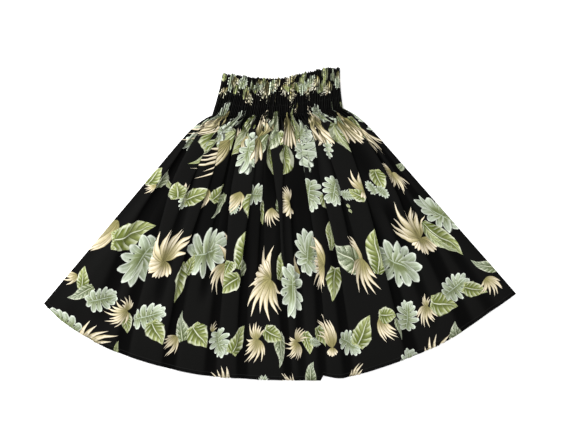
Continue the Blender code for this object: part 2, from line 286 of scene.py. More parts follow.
@dataclass
class FoldedHalf:
    """One half of the skirt's cloth, waistband and all, as it lies in its folds.

    Levels are metres down the cloth: negative on the waistband, 0 at its foot, positive on the skirt.
    """

    plan: SkirtPlan
    gathers: Gathers
    valleys: Sequence[Valley]
    faces_up: bool
    # The flat cloth: its width, and what the band, the skirt and the turned edges take of its length
    cloth: float = 1.37
    band_height: float = 0.1010
    length: float = 0.640
    hem_turn: float = 0.012
    head_turn: float = 0.014
    # How far the cloth turns: upright folds, folds that lie over, and at most
    steepest: float = 1.75
    turned: float = 2.95
    most_turned: float = 2.9
    # Deep folds lie over on their side at the waist and stand up towards the hem
    lean: tuple[float, float] = (0.85, 0.10)
    lean_fades_at: float = 0.90
    lean_from_depth: float = 0.62
    lean_over_depth: float = 0.25
    lean_slope: float = 1.5
    # Tucks that the elastic draws up, doubled just under the band
    doubling: float = 0.010
    alternate: float = 0.62
    tuck_slope: float = 1.60
    second_tuck: float = 1.20
    second_shift: float = 0.5
    tuck_reach: float = 0.042
    # Long folds, which grow from the band down
    valley_reach: float = 0.10
    valley_start: float = 0.06
    gathered_reach: float = 0.70
    full_reach_at: float = 0.6
    # Small uneven pleats under the band
    pleats: int = 5
    pleat_reach: float = 0.20
    pleat_begins: float = 0.05
    pleat_width: float = 0.36
    # A faint ripple of the cloth between its folds
    ripple: float = 0.05
    ripples: float = 11.3
    ripple_wander: tuple[float, float] = (0.8, 7.0)
    ripple_slant: float = 2.0
    ripple_reach: float = 0.3
    # How each level settles: evenly along its line and about one height
    drift_reach: float = 0.030
    level_reach: tuple[float, float] = (0.018, 0.045)
    merge_front: tuple[float, float] = (0.0, 0.30)
    merge_back: tuple[float, float] = (0.20, 0.60)
    least_rise: float = 0.004
    squash: float = 0.95
    # Heights that the folds reach: the front's floor, and crests on the band, at the waist and at the hem
    floor_gap: float = 0.0002
    floor_front: float = 0.0080
    crest_front: tuple[float, float, float] = (0.0158, 0.0219, 0.0170)
    crest_back: tuple[float, float, float] = (0.0077, 0.0083, 0.0066)
    underside: float = 0.0003
    crest_growth: float = 0.045
    row_dent: float = 0.0004
    elastic_rows: float = 4.0
    # Side folds and turned edges
    side_fade: tuple[float, float] = (0.018, 0.040)
    side_front: tuple[float, float] = (0.0058, 0.0018)
    side_back: tuple[float, float] = (0.0050, 0.0010)
    hem_settled: float = 0.60
    hem_reach: float = 0.040
    hem_under: tuple[float, float] = (0.0012, 0.0009)
    head_under: tuple[float, float] = (0.002, 0.0020)
    # Steps in which the folds are worked out
    shown_cells: int = 700
    shown_within: float = 0.0012
    fine: int = 2801
    band_levels: int = 16
    band_foot: float = 0.004
    skirt_levels: int = 90
    crowded: float = 1.5
    most_scale: float = 30.0
    halvings: int = 44
    levels: Array = field(init=False)
    across: Array = field(init=False)
    height: Array = field(init=False)
    sunk: Array = field(init=False)
    shown: Array = field(init=False)

    def __post_init__(self) -> None:
        """Fold the cloth at every level."""
        band = np.linspace(-self.band_height, -self.band_foot, self.band_levels)
        skirt = self.length * np.linspace(0.0, 1.0, self.skirt_levels) ** self.crowded
        self.levels = np.concatenate([band, skirt])
        rows = [self.fold_level(level) for level in self.levels]
        self.across = np.array([row[0] for row in rows])
        self.height = np.array([row[1] for row in rows])
        self.sunk = np.array([row[2] for row in rows])
        self.shown = np.array([self.shown_on(row[0], row[1]) for row in rows])

    def shown_width(self, level: float) -> float:
        """Length of the outline's level line in plan."""
        across = np.linspace(0.0, 1.0, 61)
        x, y = self.plan_at(across, np.full(61, level))
        return float(np.hypot(np.diff(x), np.diff(y)).sum())

    def plan_at(self, across: Array, level: Array) -> tuple[Array, Array]:
        """Points in plan at metres down the cloth."""
        skirt = self.plan.skirt(across, np.maximum(level, 0.0) / self.length)
        band = self.plan.band(across, 1.0 + np.minimum(level, 0.0) / self.band_height)
        return np.where(level < 0, band[0], skirt[0]), np.where(level < 0, band[1], skirt[1])

    def bends(self, along: Array, level: float) -> tuple[Array, Array]:
        """Shape of the cloth's slope along a level, before it is scaled to fit.

        Args:
            along: places along the cloth, 0 to 1.
            level: metres down the cloth.

        Returns:
            The slopes of upright folds and those of folds that lie over on their side, of any scale.
        """
        down = max(level, 0.0) / self.length
        phase = self.gathers.phase(along)
        doubled = math.exp(-max(level, 0.0) / self.doubling)
        fading = math.exp(-((down / self.tuck_reach) ** 2))
        tucks = -np.sin(TURN * phase) * (1.0 - self.alternate * doubled)
        tucks = tucks - np.sin(2.0 * TURN * phase + self.second_shift) * self.second_tuck * doubled
        upright = self.tuck_slope * tucks * fading
        leaning = np.zeros_like(along)
        grown = self.valley_start + (1.0 - self.valley_start) * float(ease(down / self.valley_reach))
        over = float(mix(*self.lean, ease(down / self.lean_fades_at)))
        for index, valley in enumerate(self.valleys):
            reach = valley.half_width * float(mix(self.gathered_reach, 1.0, ease(down / self.full_reach_at)))
            off = (along - float(valley.centre(down))) / reach
            strength = float(valley.strength(down)) * grown
            leans = over * float(ease((valley.depth - self.lean_from_depth) / self.lean_over_depth))
            upright = upright + np.sin(np.pi * off) * (np.abs(off) < 1.0) * strength * (1.0 - leans)
            way = 1.0 if (index * 5) % 7 < 4 else -1.0
            leaning = leaning + way * hump(off) * strength * leans * self.lean_slope
        leaning = sum(self.small_pleats(along, down), leaning)
        size, beat = self.ripple_wander
        wave = TURN * (self.ripples * along + size * np.sin(beat * along)) + self.ripple_slant * down
        ripple = self.ripple * np.sin(wave)
        return upright + ripple * float(ease(down / self.ripple_reach)), leaning

    def small_pleats(self, along: Array, down: float) -> list[Array]:
        """Slopes of each uneven pleat that lies over just under the waistband.

        Args:
            along: places along the cloth, 0 to 1.
            down: 0 at the band's foot to 1 at the hem.

        Returns:
            Each pleat's slopes.
        """
        kept = float(ease(down / self.pleat_begins)) * math.exp(-((down / self.pleat_reach) ** 2))
        slopes = []
        for index in range(self.pleats):
            swing = 0.30 * math.sin(2.7 * index) + 0.22 * math.sin(1.3 * index + 1.0)
            centre = (index + 0.5 + swing) / self.pleats
            off = (along - centre) / (self.pleat_width / self.pleats)
            way = 1.0 if (index * 3) % 5 < 3 else -1.0
            size = 0.75 + 0.35 * math.sin(4.1 * index)
            slopes.append(way * hump(off) * size * kept * self.lean_slope)
        return slopes

    def angles(self, upright: Array, leaning: Array, scale: float) -> Array:
        """Slope angles in radians: upright folds stay under a right angle or so, leaning ones turn under."""
        stood = self.steepest * np.tanh(scale * upright / self.steepest)
        lying = self.turned * np.tanh(scale * leaning / self.turned)
        return np.clip(stood - lying, -self.most_turned, self.most_turned)

    def fold_level(self, level: float) -> tuple[Array, Array, Array]:
        """Fold one level so that its cloth just fits its shown width.

        Args:
            level: metres down the cloth.

        Returns:
            Place across, height in metres, and how far into the folds each fine point along the cloth lies.
        """
        along = np.linspace(0.0, 1.0, self.fine)
        upright, leaning = self.bends(along, level)
        wanted = self.shown_width(level) / self.cloth
        low, high = 0.0, self.most_scale
        for _ in range(self.halvings):
            middle = (low + high) / 2.0
            if np.cos(self.angles(upright, leaning, middle)).mean() > wanted:
                low = middle
            else:
                high = middle
        angle = self.angles(upright, leaning, middle)
        across = np.concatenate([[0.0], np.cumsum(np.cos((angle[1:] + angle[:-1]) / 2.0))])
        rise = np.concatenate([[0.0], np.cumsum(np.sin((angle[1:] + angle[:-1]) / 2.0))])
        across = across / across[-1]
        drift = self.smoothed(across - along, self.drift_reach)
        across = across - drift * ease(np.minimum(along, 1.0 - along) / self.drift_reach)
        rise = rise * self.cloth / (self.fine - 1)
        down = max(level, 0.0) / self.length
        begins, over = self.merge_front if self.faces_up else self.merge_back
        merged = ease((down - begins) / over)
        rise = rise - self.smoothed(rise, float(mix(*self.level_reach, merged)))
        bottom, top = np.percentile(rise, (5, 95))
        share = (rise - bottom) / max(top - bottom, self.least_rise) - 0.5
        share = 0.5 + self.squash * np.tanh(share / self.squash)
        low_z, high_z = self.span(level)
        height = mix(low_z, high_z, share)
        if self.faces_up:
            return across, height, np.clip(1.0 - share, 0.0, 1.0)
        return across, np.maximum(height, self.floor_gap), np.clip(share, 0.0, 1.0)

    def shown_on(self, across: Array, height: Array) -> Array:
        """Which points of a folded level lie outermost, 1 where they show and 0 where a fold covers them.

        Args:
            across: where each place of the cloth lies, 0 to 1.
            height: how high it lies, in metres.

        Returns:
            1 or 0 for each place.
        """
        cells = self.shown_cells
        cell = np.clip((across * cells).astype(int), 0, cells - 1)
        outward = height if self.faces_up else -height
        best = np.full(cells, -1.0)
        np.maximum.at(best, cell, outward)
        return (outward > best[cell] - self.shown_within).astype(float)

    def smoothed(self, values: Array, reach: float) -> Array:
        """Values blurred along the cloth by a share of its width.

        Args:
            values: the values along the cloth.
            reach: the blur's reach, as a share of the cloth's width.

        Returns:
            The smoothed values.
        """
        half = int(3 * reach * self.fine)
        kernel = np.exp(-0.5 * (np.arange(-half, half + 1) / (reach * self.fine)) ** 2)
        first, last = values[0], values[-1]
        before = 2.0 * first - values[half:0:-1]
        after = 2.0 * last - values[-2 : -half - 2 : -1]
        return np.convolve(np.concatenate([before, values, after]), kernel / kernel.sum(), mode="valid")

    def span(self, level: float) -> tuple[float, float]:
        """Heights between which the cloth folds at a level, in metres.

        Args:
            level: metres down the cloth.

        Returns:
            The height that lies inward and the one that lies outward, which is the lower one underneath.
        """
        down = max(level, 0.0) / self.length
        grown = 1.0 - math.exp(-down / self.crest_growth)
        on_band, at_waist, at_hem = self.crest_front if self.faces_up else self.crest_back
        crest = on_band if level < 0 else mix(on_band, mix(at_waist, at_hem, down), grown)
        if not self.faces_up:
            return crest, self.underside
        if level < 0:
            rows = math.cos(TURN * self.elastic_rows * (level / self.band_height + 0.125))
            crest = crest - self.row_dent * rows
        return self.floor_front, crest

    def at(self, along: Array, level: Array) -> tuple[Array, Array, Array, Array]:
        """Folded places of points of the flat cloth.

        Args:
            along: 0 to 1 along the cloth's half width.
            level: metres down the cloth. Past the hem or the heading the cloth turns under.

        Returns:
            x, y and z, and how far into the folds each point lies, 0 to 1.
        """
        past_hem = np.maximum(level - self.length, 0.0)
        past_head = np.maximum(-self.band_height - level, 0.0)
        level = np.where(past_hem > 0, self.length - past_hem, level)
        level = np.where(past_head > 0, -self.band_height + past_head, level)
        row = np.interp(level, self.levels, np.arange(len(self.levels)))
        column = np.clip(along, 0.0, 1.0) * (self.fine - 1)
        i = np.clip(row.astype(int), 0, len(self.levels) - 2)
        j = np.clip(column.astype(int), 0, self.fine - 2)
        p, q = row - i, column - j

        def read(table: Array) -> Array:
            """Table value between its four neighbours."""
            upper = mix(table[i, j], table[i, j + 1], q)
            return mix(upper, mix(table[i + 1, j], table[i + 1, j + 1], q), p)

        across, z = read(self.across), read(self.height)
        x, y = self.plan_at(np.clip(across, 0.0, 1.0), level)
        y = y + self.pucker(along, level)
        down = np.maximum(level, 0.0) / self.length
        grown = ease(down / 0.05)
        fade = ease(np.minimum(across, 1.0 - across) / mix(*self.side_fade, grown))
        side = self.side_front if self.faces_up else self.side_back
        z = mix(mix(*side, grown), z, fade)
        z = z * mix(1.0, self.hem_settled, ease((level - self.length) / self.hem_reach + 1.0))
        under = -1.0 if self.faces_up else 1.0
        turned = ease(past_hem / self.hem_under[0]) * self.hem_under[1]
        turned = turned + ease(past_head / self.head_under[0]) * self.head_under[1]
        return x, y, z + under * turned, read(self.sunk)

    def pucker(self, along: Array, level: Array) -> Array:
        """How far the tucks shift the cloth up or down in plan, on the band and at its heading.

        Args:
            along: places along the cloth, 0 to 1.
            level: metres down the cloth.

        Returns:
            Each place's shift in metres.
        """
        phase = TURN * self.gathers.phase(np.clip(along, 0.0, 1.0))
        first, second = (np.sin(beat * phase) for beat in self.gathers.pucker_beats)
        swing = np.sin(phase + 0.9 * first) + 0.7 * np.sin(2.0 * phase + 2.0 * second)
        inside = np.clip(-level / self.band_height, 0.0, 1.0)
        held = np.where(level > -self.band_height, np.sin(np.pi * inside) ** 0.5, 0.0)
        ends = ease(np.minimum(along, 1.0 - along) / 0.02)
        size = self.gathers.pucker_at_foot * ease(inside * 3.0) + self.gathers.pucker_size * held
        return swing * size * ends

    def locate(self, x: float, y: float) -> tuple[float, float]:
        """Place across and level of a point in plan.

        Args:
            x: its x in metres.
            y: its y in metres.

        Returns:
            Place across, 0 to 1, and metres down the cloth.
        """
        guess = np.array([0.5, 0.3])
        step = np.array([0.001, 0.001])
        for _ in range(14):
            s = guess[0] + np.array([0.0, step[0], 0.0])
            v = guess[1] + np.array([0.0, 0.0, step[1]])
            px, py = self.plan_at(s, v)
            jacobian = np.array([
                [(px[1] - px[0]) / step[0], (px[2] - px[0]) / step[1]],
                [(py[1] - py[0]) / step[0], (py[2] - py[0]) / step[1]],
            ])
            guess = guess + np.linalg.solve(jacobian, np.array([x - px[0], y - py[0]]))
            guess = np.clip(guess, (-0.02, -self.band_height), (1.02, self.length * 1.08))
        return float(guess[0]), float(guess[1])

    def outermost(self, across: float, level: float) -> float:
        """Place along the cloth that lies outermost at a place across a level.

        Args:
            across: place across the shown width, 0 to 1.
            level: metres down the cloth.

        Returns:
            The place along the cloth, 0 to 1.
        """
        row = int(np.argmin(np.abs(self.levels - min(level, self.length))))
        off = np.abs(self.across[row] - across)
        near = np.flatnonzero(off < max(0.0015, float(off.min()) + 1e-4))
        heights = self.height[row][near]
        best = near[np.argmax(heights)] if self.faces_up else near[np.argmin(heights)]
        return float(best) / (self.fine - 1)

    def shown_share(self, along: Array, level: Array) -> Array:
        """How far points of the flat cloth show, 0 to 1."""
        i = np.argmin(np.abs(self.levels[:, None] - level.reshape(-1)[None, :]), axis=0)
        j = np.clip(along.reshape(-1) * (self.fine - 1), 0, self.fine - 1).astype(int)
        return self.shown[i, j].reshape(along.shape)

    def axes(self, across: float, level: float) -> tuple[Array, Array]:
        """Directions of the cloth in plan.

        Args:
            across: place across the shown width, 0 to 1.
            level: metres down the cloth.

        Returns:
            Unit vectors across the cloth and down it.
        """
        s = np.array([across, across + 0.002, across])
        v = np.array([level, level, level + 0.002])
        x, y = self.plan_at(s, v)
        side = np.array([x[1] - x[0], y[1] - y[0]])
        down = np.array([x[2] - x[0], y[2] - y[0]])
        return side / np.linalg.norm(side), down / np.linalg.norm(down)


class Kind(Enum):
    """The leaves that the print is made of."""

    FAN = "fan palm"
    TARO = "taro"
    CURL = "curled banana leaf"
    SPLIT = "split leaf"
    HAND = "broad split leaf"
    WING = "spotted wing leaf"
    FROND = "mint frond"


@dataclass(frozen=True)
class Tint:
    """Colours of one kind of leaf from its root to its tip, with its veins and its spots.

    Veins are a count from 2 up, or HOLE for a hole that shows the ground, FINGER for a palm's finger, or LOBE
    for a smooth lobe.
    """

    root: Colour
    tip: Colour
    veins: float
    spots: float = 0.0

    def hole(self) -> "Tint":
        """The tint of a hole in a leaf of this one."""
        return Tint(self.root, self.root, HOLE)


HOLE, FINGER, LOBE = -1.0, 0.0, 1.0
TINTS = {
    Kind.FAN: Tint((0.230, 0.205, 0.085), (0.600, 0.510, 0.345), FINGER),
    Kind.TARO: Tint((0.130, 0.158, 0.032), (0.375, 0.415, 0.155), 6.0),
    Kind.CURL: Tint((0.110, 0.140, 0.028), (0.350, 0.392, 0.142), 9.0),
    Kind.SPLIT: Tint((0.170, 0.200, 0.092), (0.370, 0.420, 0.325), LOBE),
    Kind.HAND: Tint((0.160, 0.190, 0.080), (0.375, 0.425, 0.330), LOBE),
    Kind.WING: Tint((0.170, 0.205, 0.098), (0.370, 0.418, 0.315), 7.0, 1.0),
    Kind.FROND: Tint((0.190, 0.225, 0.130), (0.385, 0.432, 0.335), LOBE),
}
CURLED_OVER = Tint(TINTS[Kind.CURL].tip, (0.390, 0.435, 0.260), 9.0)
SPLIT_RIB = Tint((0.330, 0.390, 0.290), (0.360, 0.420, 0.320), LOBE)
HAND_RIB = Tint((0.300, 0.350, 0.230), (0.350, 0.410, 0.300), LOBE)


@dataclass(frozen=True)
class Leaf:
    """One leaf of the chart, in chart squares from the top left, size in squares and turn in degrees.

    A turn of 0 points up the skirt, 90 to the right. Shape is its width against its length, or a fan's spread
    in degrees, below 0 where its fingers are joined almost to their blunt ends.
    """

    kind: Kind
    x: float
    y: float
    size: float
    turn: float
    shape: float


@dataclass(frozen=True)
class Blade:
    """One coloured patch of a leaf: its outline, its middle line and its half widths, in one plane."""

    outline: Array
    middle: Array
    half_widths: Array
    tint: Tint

    def moved(self, matrix: Array, place: Array, scale: float) -> "Blade":
        """The blade turned, sized and put in place."""
        outline = self.outline @ matrix.T * scale + place
        middle = self.middle @ matrix.T * scale + place
        return Blade(outline, middle, self.half_widths * scale, self.tint)

    def brighter(self, gain: float) -> "Blade":
        """The blade in stronger colours."""
        colours = (self.tint.root, self.tint.tip)
        root, tip = (tuple(min(0.95, gain * part) for part in colour) for colour in colours)
        return replace(self, tint=replace(self.tint, root=root, tip=tip))

    def read(self, points: Array) -> Array:
        """Places on the blade.

        Args:
            points: points in the blade's plane, one row each.

        Returns:
            For each, how far it is along the middle line, 0 to 1, and across it, -1 to 1.
        """
        start, end = self.middle[:-1], self.middle[1:]
        run = end - start
        off = points[:, None, :] - start[None, :, :]
        share = (off * run).sum(axis=2) / np.maximum((run * run).sum(axis=1), 1e-12)
        share = np.clip(share, 0.0, 1.0)
        gap = off - share[:, :, None] * run[None, :, :]
        distance = np.hypot(gap[:, :, 0], gap[:, :, 1])
        best = distance.argmin(axis=1)
        row = np.arange(len(points))
        side = np.sign(run[best, 0] * gap[row, best, 1] - run[best, 1] * gap[row, best, 0])
        along = (best + share[row, best]) / len(start)
        half = np.interp(along, np.linspace(0.0, 1.0, len(self.half_widths)), self.half_widths)
        across = side * distance[row, best] / np.maximum(half, 1e-5)
        return np.column_stack([along, np.clip(across, -1.2, 1.2)])


@dataclass(frozen=True)
class FingerEnds:
    """How a fan palm's fingers end: half widths, reach, bend, and how much wider when open and closed."""

    profile: tuple[float, float, float, float]
    reach: tuple[float, float]
    bend: float
    wider: tuple[float, float]


SHARP_ENDS = FingerEnds((0.92, 0.66, 0.34, 0.0), (0.82, 1.08), 1.0, (1.0, 1.0))
BLUNT_ENDS = FingerEnds((1.04, 1.02, 0.84, 0.0), (0.95, 1.04), 0.05, (1.72, 1.30))


@dataclass(frozen=True)
class LeafShapes:
    """Draws each kind of leaf one unit long as blades, root at the origin and tip at (0, 1)."""

    closed_spread: float = 70.0
    finger_degrees: tuple[float, float] = (13.5, 8.5)
    finger_half: tuple[float, float] = (0.066, 0.064)
    finger_foot: tuple[float, float, float, float] = (0.30, 0.72, 1.0, 1.04)
    blunt_fall: float = 0.12
    sharp_fall: tuple[float, float] = (0.20, 0.50)
    heart: tuple[float, ...] = (0.58, 0.90, 1.02, 1.0, 0.90, 0.78, 0.60, 0.40, 0.20, 0.0)
    heart_wave: float = 0.06
    split_reaches: tuple[float, ...] = (0.36, 0.50, 0.54, 0.50, 0.43, 0.34)
    split_lobe: tuple[float, ...] = (0.80, 0.90, 1.00, 1.05, 1.04, 0.90, 0.42)
    split_half: float = 0.090
    hand_lobes: tuple[tuple[int, float], ...] = (
        (158, 0.42), (128, 0.48), (99, 0.50), (71, 0.52), (44, 0.55), (15, 0.60)
    )
    hand_lobe: tuple[float, ...] = (0.44, 0.68, 0.86, 0.98, 1.05, 1.06, 1.02, 0.92, 0.70, 0.20)
    hand_half: float = 0.116
    frond_reaches: tuple[float, ...] = (0.34, 0.46, 0.52, 0.52, 0.46, 0.38, 0.28)
    frond_half: float = 0.070

    def ribbon(self, points: Array, widths: Array, tint: Tint, steps: int = 12) -> Blade:
        """Blade along a curved middle line.

        Args:
            points: a few points of the middle line.
            widths: half widths at even steps along it.
            tint: its colours.
            steps: how many steps the blade is drawn in.

        Returns:
            The blade.
        """
        rail = np.linspace(0.0, 1.0, len(points))
        at = np.linspace(0.0, 1.0, steps + 1)
        middle = np.column_stack([curve_through(rail, points[:, k], at) for k in (0, 1)])
        half = np.maximum(np.interp(at, np.linspace(0.0, 1.0, len(widths)), widths), 0.0)
        run = np.gradient(middle, axis=0)
        run = run / np.maximum(np.hypot(run[:, 0], run[:, 1]), 1e-9)[:, None]
        side = np.column_stack([run[:, 1], -run[:, 0]])
        left = middle - side * half[:, None]
        right = middle + side * half[:, None]
        outline = np.concatenate([left, right[::-1]])
        return Blade(outline, middle, half, tint)

    def leaf(self, kind: Kind, shape: float, seed: int, finer: float = 1.0) -> list[Blade]:
        """Blades of one leaf, the lowest first.

        Args:
            kind: which leaf.
            shape: its width against its length, or a fan's spread.
            seed: number that settles its small unevenness.
            finer: how many times more fingers a fan has, for one that is drawn out wide.

        Returns:
            The blades.
        """
        even = {Kind.TARO: self.taro, Kind.CURL: self.curl, Kind.WING: self.wing}
        if kind in even:
            return even[kind](shape)
        rng = np.random.default_rng(seed)
        if kind is Kind.FAN:
            return self.fan(shape, rng, finer)
        uneven = {Kind.SPLIT: self.split, Kind.HAND: self.hand, Kind.FROND: self.frond}
        return uneven[kind](shape, rng)

    def fan(self, spread: float, rng: np.random.Generator, finer: float = 1.0) -> list[Blade]:
        """Fan palm: fingers round a hub at the origin, the longest along the axis.

        Args:
            spread: degrees from the first finger to the last, below 0 for blunt ends.
            rng: source of its small unevenness.
            finer: how many times as many fingers it has, each as much narrower.

        Returns:
            Its blades, the lowest first.
        """
        blunt, spread = spread < 0.0, abs(spread)
        closed = spread <= self.closed_spread
        ends = BLUNT_ENDS if blunt else SHARP_ENDS
        count = max(3, int(round(finer * spread / self.finger_degrees[closed])))
        blades = []
        angles = np.linspace(-spread / 2.0, spread / 2.0, count)
        order = np.argsort(-np.abs(angles))
        skew, swirl = rng.uniform(0.0, 6.2), rng.choice((-0.24, 0.24))
        fall = self.blunt_fall if blunt else mix(*self.sharp_fall, min(spread / 260.0, 1.0))
        for k in order:
            angle = math.radians(angles[k] + rng.uniform(-3.5, 3.5) / finer)
            reach = 1.0 - fall * abs(2.0 * angles[k] / spread) ** 1.5
            reach *= rng.uniform(*ends.reach)
            reach *= 1.0 + 0.10 * math.sin(angle + skew)
            bend = ends.bend * (swirl - 0.12 * math.sin(angle) + rng.uniform(-0.10, 0.10))
            way = np.array([math.sin(angle), math.cos(angle)])
            side = np.array([way[1], -way[0]])
            rail = np.array([
                (0.0, 0.0),
                way * reach * 0.33,
                way * reach * 0.68 + side * bend * reach * 0.35,
                way * reach + side * bend * reach * 1.3,
            ])
            wide = self.finger_half[closed] / finer * rng.uniform(0.86, 1.14)
            wide *= ends.wider[closed]
            profile = np.array([*self.finger_foot, *ends.profile])
            finger = self.ribbon(rail, wide * profile, TINTS[Kind.FAN], 7)
            blades.append(finger.brighter(rng.uniform(0.80, 1.20)))
        return blades

    def taro(self, wide: float) -> list[Blade]:
        """Taro: a slightly wavy heart with two ears at its root.

        Args:
            wide: width to its length.

        Returns:
            Its blades, the lowest first.
        """
        tint = TINTS[Kind.TARO]
        ears = []
        for way in (-1.0, 1.0):
            rail = np.array([(0.0, 0.22), (way * 0.18 * wide, 0.08), (way * 0.30 * wide, -0.04)])
            ears.append(self.ribbon(rail, wide * np.array([0.20, 0.24, 0.20, 0.0]), tint, 7))
        profile = np.array(self.heart) * wide / 2.0
        profile = profile * (1.0 + self.heart_wave * np.sin(np.arange(len(self.heart)) * 2.6))
        rail = np.array([(0.0, 0.04), (0.015, 0.35), (-0.01, 0.70), (0.03, 1.0)])
        return ears + [self.ribbon(rail, profile, tint, 12)]

    def curl(self, wide: float) -> list[Blade]:
        """Banana leaf whose one side curls over, seen as a paler blade.

        Args:
            wide: width to its length.

        Returns:
            Its blades, the lowest first.
        """
        rail = np.array([(0.0, 0.0), (0.05, 0.33), (-0.03, 0.68), (0.05, 1.0)])
        profile = wide * np.array([0.16, 0.42, 0.52, 0.50, 0.40, 0.22, 0.0])
        body = self.ribbon(rail, profile, TINTS[Kind.CURL], 12)
        edge = np.array([(0.14, 0.08), (0.32, 0.34), (0.28, 0.62), (0.10, 0.94)]) * (wide, 1.0)
        return [body, self.ribbon(edge, wide * np.array([0.0, 0.13, 0.17, 0.11, 0.0]), CURLED_OVER, 10)]

    def slot(self, middle: Array, half_run: Array, half_width: float, tint: Tint) -> Blade:
        """Small pointed hole in a leaf of a tint."""
        rail = np.array([middle - half_run, middle, middle + half_run])
        return self.ribbon(rail, half_width * np.array([0.0, 1.0, 1.0, 0.0]), tint.hole(), 4)

    def split(self, wide: float, rng: np.random.Generator) -> list[Blade]:
        """Split leaf: rounded lobes off a midrib with slits between them, and a few small holes beside it.

        Args:
            wide: width to its length.
            rng: source of its small unevenness.

        Returns:
            Its blades, the lowest first.
        """
        tint = TINTS[Kind.SPLIT]
        blades, holes = [], []
        last = len(self.split_reaches) - 1
        fuller = max(1.0, 0.35 + 0.80 * wide)
        for k, far in enumerate(self.split_reaches):
            start = 0.18 + 0.58 * k / last
            angle = math.radians(mix(132.0, 30.0, k / last))
            for way in (-1.0, 1.0):
                turn = angle + rng.uniform(-0.08, 0.08)
                aim = np.array([way * math.sin(turn), math.cos(turn)])
                go = aim * wide * far * rng.uniform(0.90, 1.08)
                rail = np.array([(0.0, start), go * 0.5 + (0.0, start - 0.015), go + (0.0, start + 0.045)])
                half = self.split_half * fuller * np.array(self.split_lobe)
                blades.append(self.ribbon(rail, half, tint, 6).brighter(rng.uniform(0.88, 1.12)))
                if 0 < k < 4:
                    between = np.array([way * math.sin(turn - 0.17), math.cos(turn - 0.17)])
                    middle = between * wide * far * 0.42 + (0.0, start + 0.050)
                    holes.append(self.slot(middle, between * 0.035, 0.013, tint))
        rail = np.array([(0.0, 0.68), (0.0, 0.84), (0.02, 1.0)])
        blades.append(self.ribbon(rail, np.array([0.08, 0.11, 0.12, 0.08, 0.0]), tint, 8))
        return blades + holes + [self.rib(0.08, 0.010, 0.45, 0.92, 0.015, SPLIT_RIB)]

    def rib(self, foot: float, bow: float, bow_at: float, end: float, half_width: float, tint: Tint) -> Blade:
        """Slightly bowed middle rib."""
        rail = np.array([(0.0, foot), (bow, bow_at), (0.0, end)])
        return self.ribbon(rail, half_width * np.array([1.0, 0.9, 0.7, 0.3]), tint, 6)

    def hand(self, wide: float, rng: np.random.Generator) -> list[Blade]:
        """Broad split leaf: lobes that spread like a hand from near its middle, parted by short slits.

        Args:
            wide: width to its length.
            rng: source of its small unevenness.

        Returns:
            Its blades, the lowest first.
        """
        tint = TINTS[Kind.HAND]
        sized = 0.5 + 0.5 * wide
        blades, holes = [], []
        for angle, reach in self.hand_lobes:
            for way in (-1.0, 1.0):
                turn = math.radians(angle + rng.uniform(-5.0, 5.0))
                aim = np.array([way * math.sin(turn) * wide, math.cos(turn)])
                aim = aim * reach * rng.uniform(0.90, 1.06)
                start = np.array([0.0, 0.40 + 0.10 * math.cos(turn)])
                droop = np.array([way * 0.03, -0.03 * math.sin(turn)])
                rail = np.array([start, start + aim * 0.5 - droop, start + aim])
                half = self.hand_half * sized * np.array(self.hand_lobe)
                blades.append(self.ribbon(rail, half, tint, 9).brighter(rng.uniform(0.86, 1.12)))
                if 60 < angle < 140:
                    spot = start + aim * 0.46 + np.array([way * 0.03, 0.085]) * sized
                    holes.append(self.slot(spot, aim * 0.07, 0.014, tint))
        return blades + holes + [self.rib(0.02, 0.012, 0.40, 0.90, 0.012, HAND_RIB)]

    def wing(self, wide: float) -> list[Blade]:
        """Wing leaf: a long spotted blade, broad at its foot and drawn out to its tip."""
        rail = np.array([(0.06, 0.0), (0.02, 0.35), (-0.02, 0.70), (0.06, 1.0)])
        profile = wide * np.array([0.26, 0.50, 0.52, 0.42, 0.28, 0.13, 0.0])
        return [self.ribbon(rail, profile, TINTS[Kind.WING], 12)]

    def frond(self, wide: float, rng: np.random.Generator) -> list[Blade]:
        """Mint frond: narrow leaflets in pairs along a stem.

        Args:
            wide: width to its length.
            rng: source of its small unevenness.

        Returns:
            Its blades, the lowest first.
        """
        tint = TINTS[Kind.FROND]
        blades = []
        last = len(self.frond_reaches) - 1
        for k, far in enumerate(self.frond_reaches):
            start = 0.06 + 0.80 * k / last
            angle = math.radians(mix(74.0, 30.0, k / last))
            reach = wide * far
            for way in (-1.0, 1.0):
                go = np.array([way * math.sin(angle), math.cos(angle)]) * reach * rng.uniform(0.9, 1.1)
                rail = np.array([(0.0, start), go * 0.55 + (0.0, start), go + (0.0, start + 0.05)])
                half = self.frond_half * np.array([0.6, 1.0, 0.95, 0.65, 0.0])
                blades.append(self.ribbon(rail, half, tint, 4))
        rail = np.array([(0.0, 0.0), (0.0, 0.5), (0.0, 1.0)])
        blades.append(self.ribbon(rail, 0.030 * np.array([0.8, 1.0, 0.9, 0.0]), tint, 7))
        return blades


# Metres to a square of the chart, and the square that lies over the frame's origin
CHART_SQUARE = 0.0024
CHART_MIDDLE = (280.0, 224.0)
HALF_UP = np.array([0.0, 0.5])
F, T, C, S, H, W, M = Kind.FAN, Kind.TARO, Kind.CURL, Kind.SPLIT, Kind.HAND, Kind.WING, Kind.FROND

